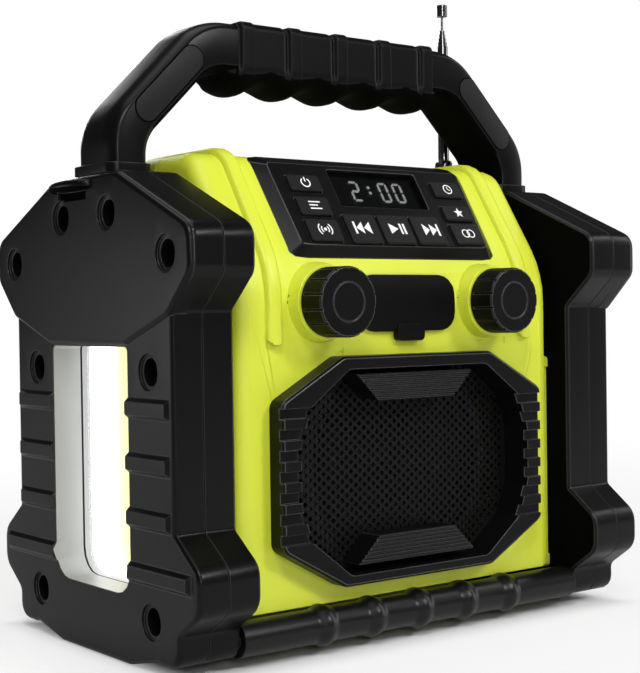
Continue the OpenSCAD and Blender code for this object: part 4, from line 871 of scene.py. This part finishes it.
def floor_finish():
    """Matt white paper, pressed: it keeps the shadow near the radio, and further off the camera
    sees it as white as the backdrop that it meets. The share of white follows the distance past
    the footprint, the greater of that in x and that in y."""
    material, tree, out = blank("white_paper")
    place = add(tree, "ShaderNodeTexCoord").outputs["Object"]
    fibre = add(tree, "ShaderNodeTexNoise", {"Vector": place, "Scale": per_mm(40), "Detail": 2.0})
    tint = add(tree, "ShaderNodeMix", {"Factor": fibre.outputs["Fac"], FIRST: linear("#E7E7E7"),
                                       SECOND: linear("#EAEAEA")}, data_type="RGBA")
    matt = add(tree, "ShaderNodeBsdfDiffuse", {"Color": tint.outputs[MIXED]})
    white = add(tree, "ShaderNodeEmission", {"Color": WHITE, "Strength": 1.0})
    seen = add(tree, "ShaderNodeLightPath").outputs["Is Camera Ray"]
    size = add(tree, "ShaderNodeVectorMath", {0: place}, operation="ABSOLUTE")
    past = add(tree, "ShaderNodeVectorMath", {0: size.outputs["Vector"], 1: FOOTPRINT},
               operation="SUBTRACT")
    sides = add(tree, "ShaderNodeSeparateXYZ", {0: past.outputs["Vector"]})
    off = add(tree, "ShaderNodeMath", {0: sides.outputs["X"], 1: sides.outputs["Y"]},
              operation="MAXIMUM")
    near, far = (add(tree, "ShaderNodeMapRange", {"Value": off.outputs[0], "From Min": start,
                     "From Max": stop, "To Min": 0.0, "To Max": share},
                     interpolation_type="SMOOTHSTEP") for start, stop, share in FADES)
    fade = add(tree, "ShaderNodeMath", {0: near.outputs["Result"], 1: far.outputs["Result"]},
               operation="ADD")
    share = add(tree, "ShaderNodeMath", {0: seen, 1: fade.outputs[0]}, operation="MULTIPLY")
    both = add(tree, "ShaderNodeMixShader", {0: share.outputs[0], 1: matt.outputs[0],
                                             2: white.outputs[0]})
    tree.links.new(both.outputs[0], out.inputs["Surface"])
    return material


floor_mesh = bpy.data.meshes.new("floor")
corner = [(-FLOOR_HALF, -FLOOR_HALF), (FLOOR_HALF, -FLOOR_HALF), (FLOOR_HALF, FLOOR_HALF),
          (-FLOOR_HALF, FLOOR_HALF)]
floor_mesh.from_pydata([(x, y, FLOOR_Z) for x, y in corner], [], [(0, 1, 2, 3)])
floor_mesh.materials.append(floor_finish())
floor = bpy.data.objects.new("floor", floor_mesh)
bpy.context.scene.collection.objects.link(floor)

# The camera sees a white backdrop, and the radio gets a weak cool light from all around
world = bpy.data.worlds.new("studio")
world.use_nodes = True
bpy.context.scene.world = world
tree = world.node_tree
tree.nodes.clear()
path = add(tree, "ShaderNodeLightPath")
soft = add(tree, "ShaderNodeBackground", {"Color": linear("#FCFDFF"), "Strength": 0.06})
white = add(tree, "ShaderNodeBackground", {"Color": WHITE, "Strength": 1.0})
sky = add(tree, "ShaderNodeMixShader", {0: path.outputs["Is Camera Ray"], 1: soft.outputs[0],
                                        2: white.outputs[0]})
tree.links.new(sky.outputs[0], add(tree, "ShaderNodeOutputWorld").inputs["Surface"])

# Each lamp: place and what it points at in m, width and height in m, and power in W
LAMPS = {
    "key": ((0.36, -0.95, 0.72), (0.0, 0.0, 0.12), (0.22, 0.22), 4.8),
    "front_fill": ((-0.52, -1.18, 0.42), (0.0, 0.0, 0.12), (0.3, 0.3), 3.0),
    "left_fill": ((-0.55, -0.755, 1.0), (-0.05, 0.0, 0.17), (0.3, 0.4), 6.6),
    "left_sheet": ((-1.0, 0.75, 0.02), (-0.1, 0.0, 0.10), (0.8, 0.45), 2.4),
    "top_sheet": ((-0.1, 0.1, 1.25), (0.0, 0.0, 0.2), (1.0, 0.8), 4.2),
    "rear_soft": ((0.30, 1.25, 0.60), (0.0, 0.0, 0.12), (0.5, 0.4), 5.0),
    "right_strip": ((0.95, -0.35, 0.45), (0.1, 0.0, 0.15), (0.2, 0.9), 2.5),
}
for name, (place, target, size, power) in LAMPS.items():
    data = bpy.data.lights.new(name, "AREA")
    data.shape = "RECTANGLE"
    data.size, data.size_y = size
    data.energy = power
    lamp = bpy.data.objects.new(name, data)
    lamp.location = place
    lamp.rotation_euler = (Vector(target) - Vector(place)).to_track_quat("-Z", "Y").to_euler()
    bpy.context.scene.collection.objects.link(lamp)


# ---- camera ------------------------------------------------------------------------------------

# Where the camera stands in m, how it is turned, its focal length and the picture's height in
# pixels, and the height of its sensor in mm
EYE = (-0.40099, -0.51879, 0.13753)
YAW, PITCH, ROLL = (math.radians(v) for v in (37.59, -1.02, -0.81))
FOCAL_PX, HEIGHT_PX, SENSOR = 1437.04, 673, 36

ahead = Vector((math.sin(YAW) * math.cos(PITCH), math.cos(YAW) * math.cos(PITCH), math.sin(PITCH)))
right = Vector((math.cos(YAW), -math.sin(YAW), 0))
up = right.cross(ahead)
across = math.cos(ROLL) * right + math.sin(ROLL) * up
upward = math.cos(ROLL) * up - math.sin(ROLL) * right
camera_data = bpy.data.cameras.new("camera")
camera_data.sensor_fit = "VERTICAL"
camera_data.sensor_height = SENSOR
camera_data.lens = FOCAL_PX / HEIGHT_PX * SENSOR
camera_data.clip_start, camera_data.clip_end = 0.01, 100
camera = bpy.data.objects.new("camera", camera_data)
axes = Matrix((across, upward, -ahead)).transposed().to_4x4()
camera.matrix_world = Matrix.Translation(EYE) @ axes
bpy.context.scene.collection.objects.link(camera)
bpy.context.scene.camera = camera
bpy.context.scene.view_settings.view_transform = "Standard"
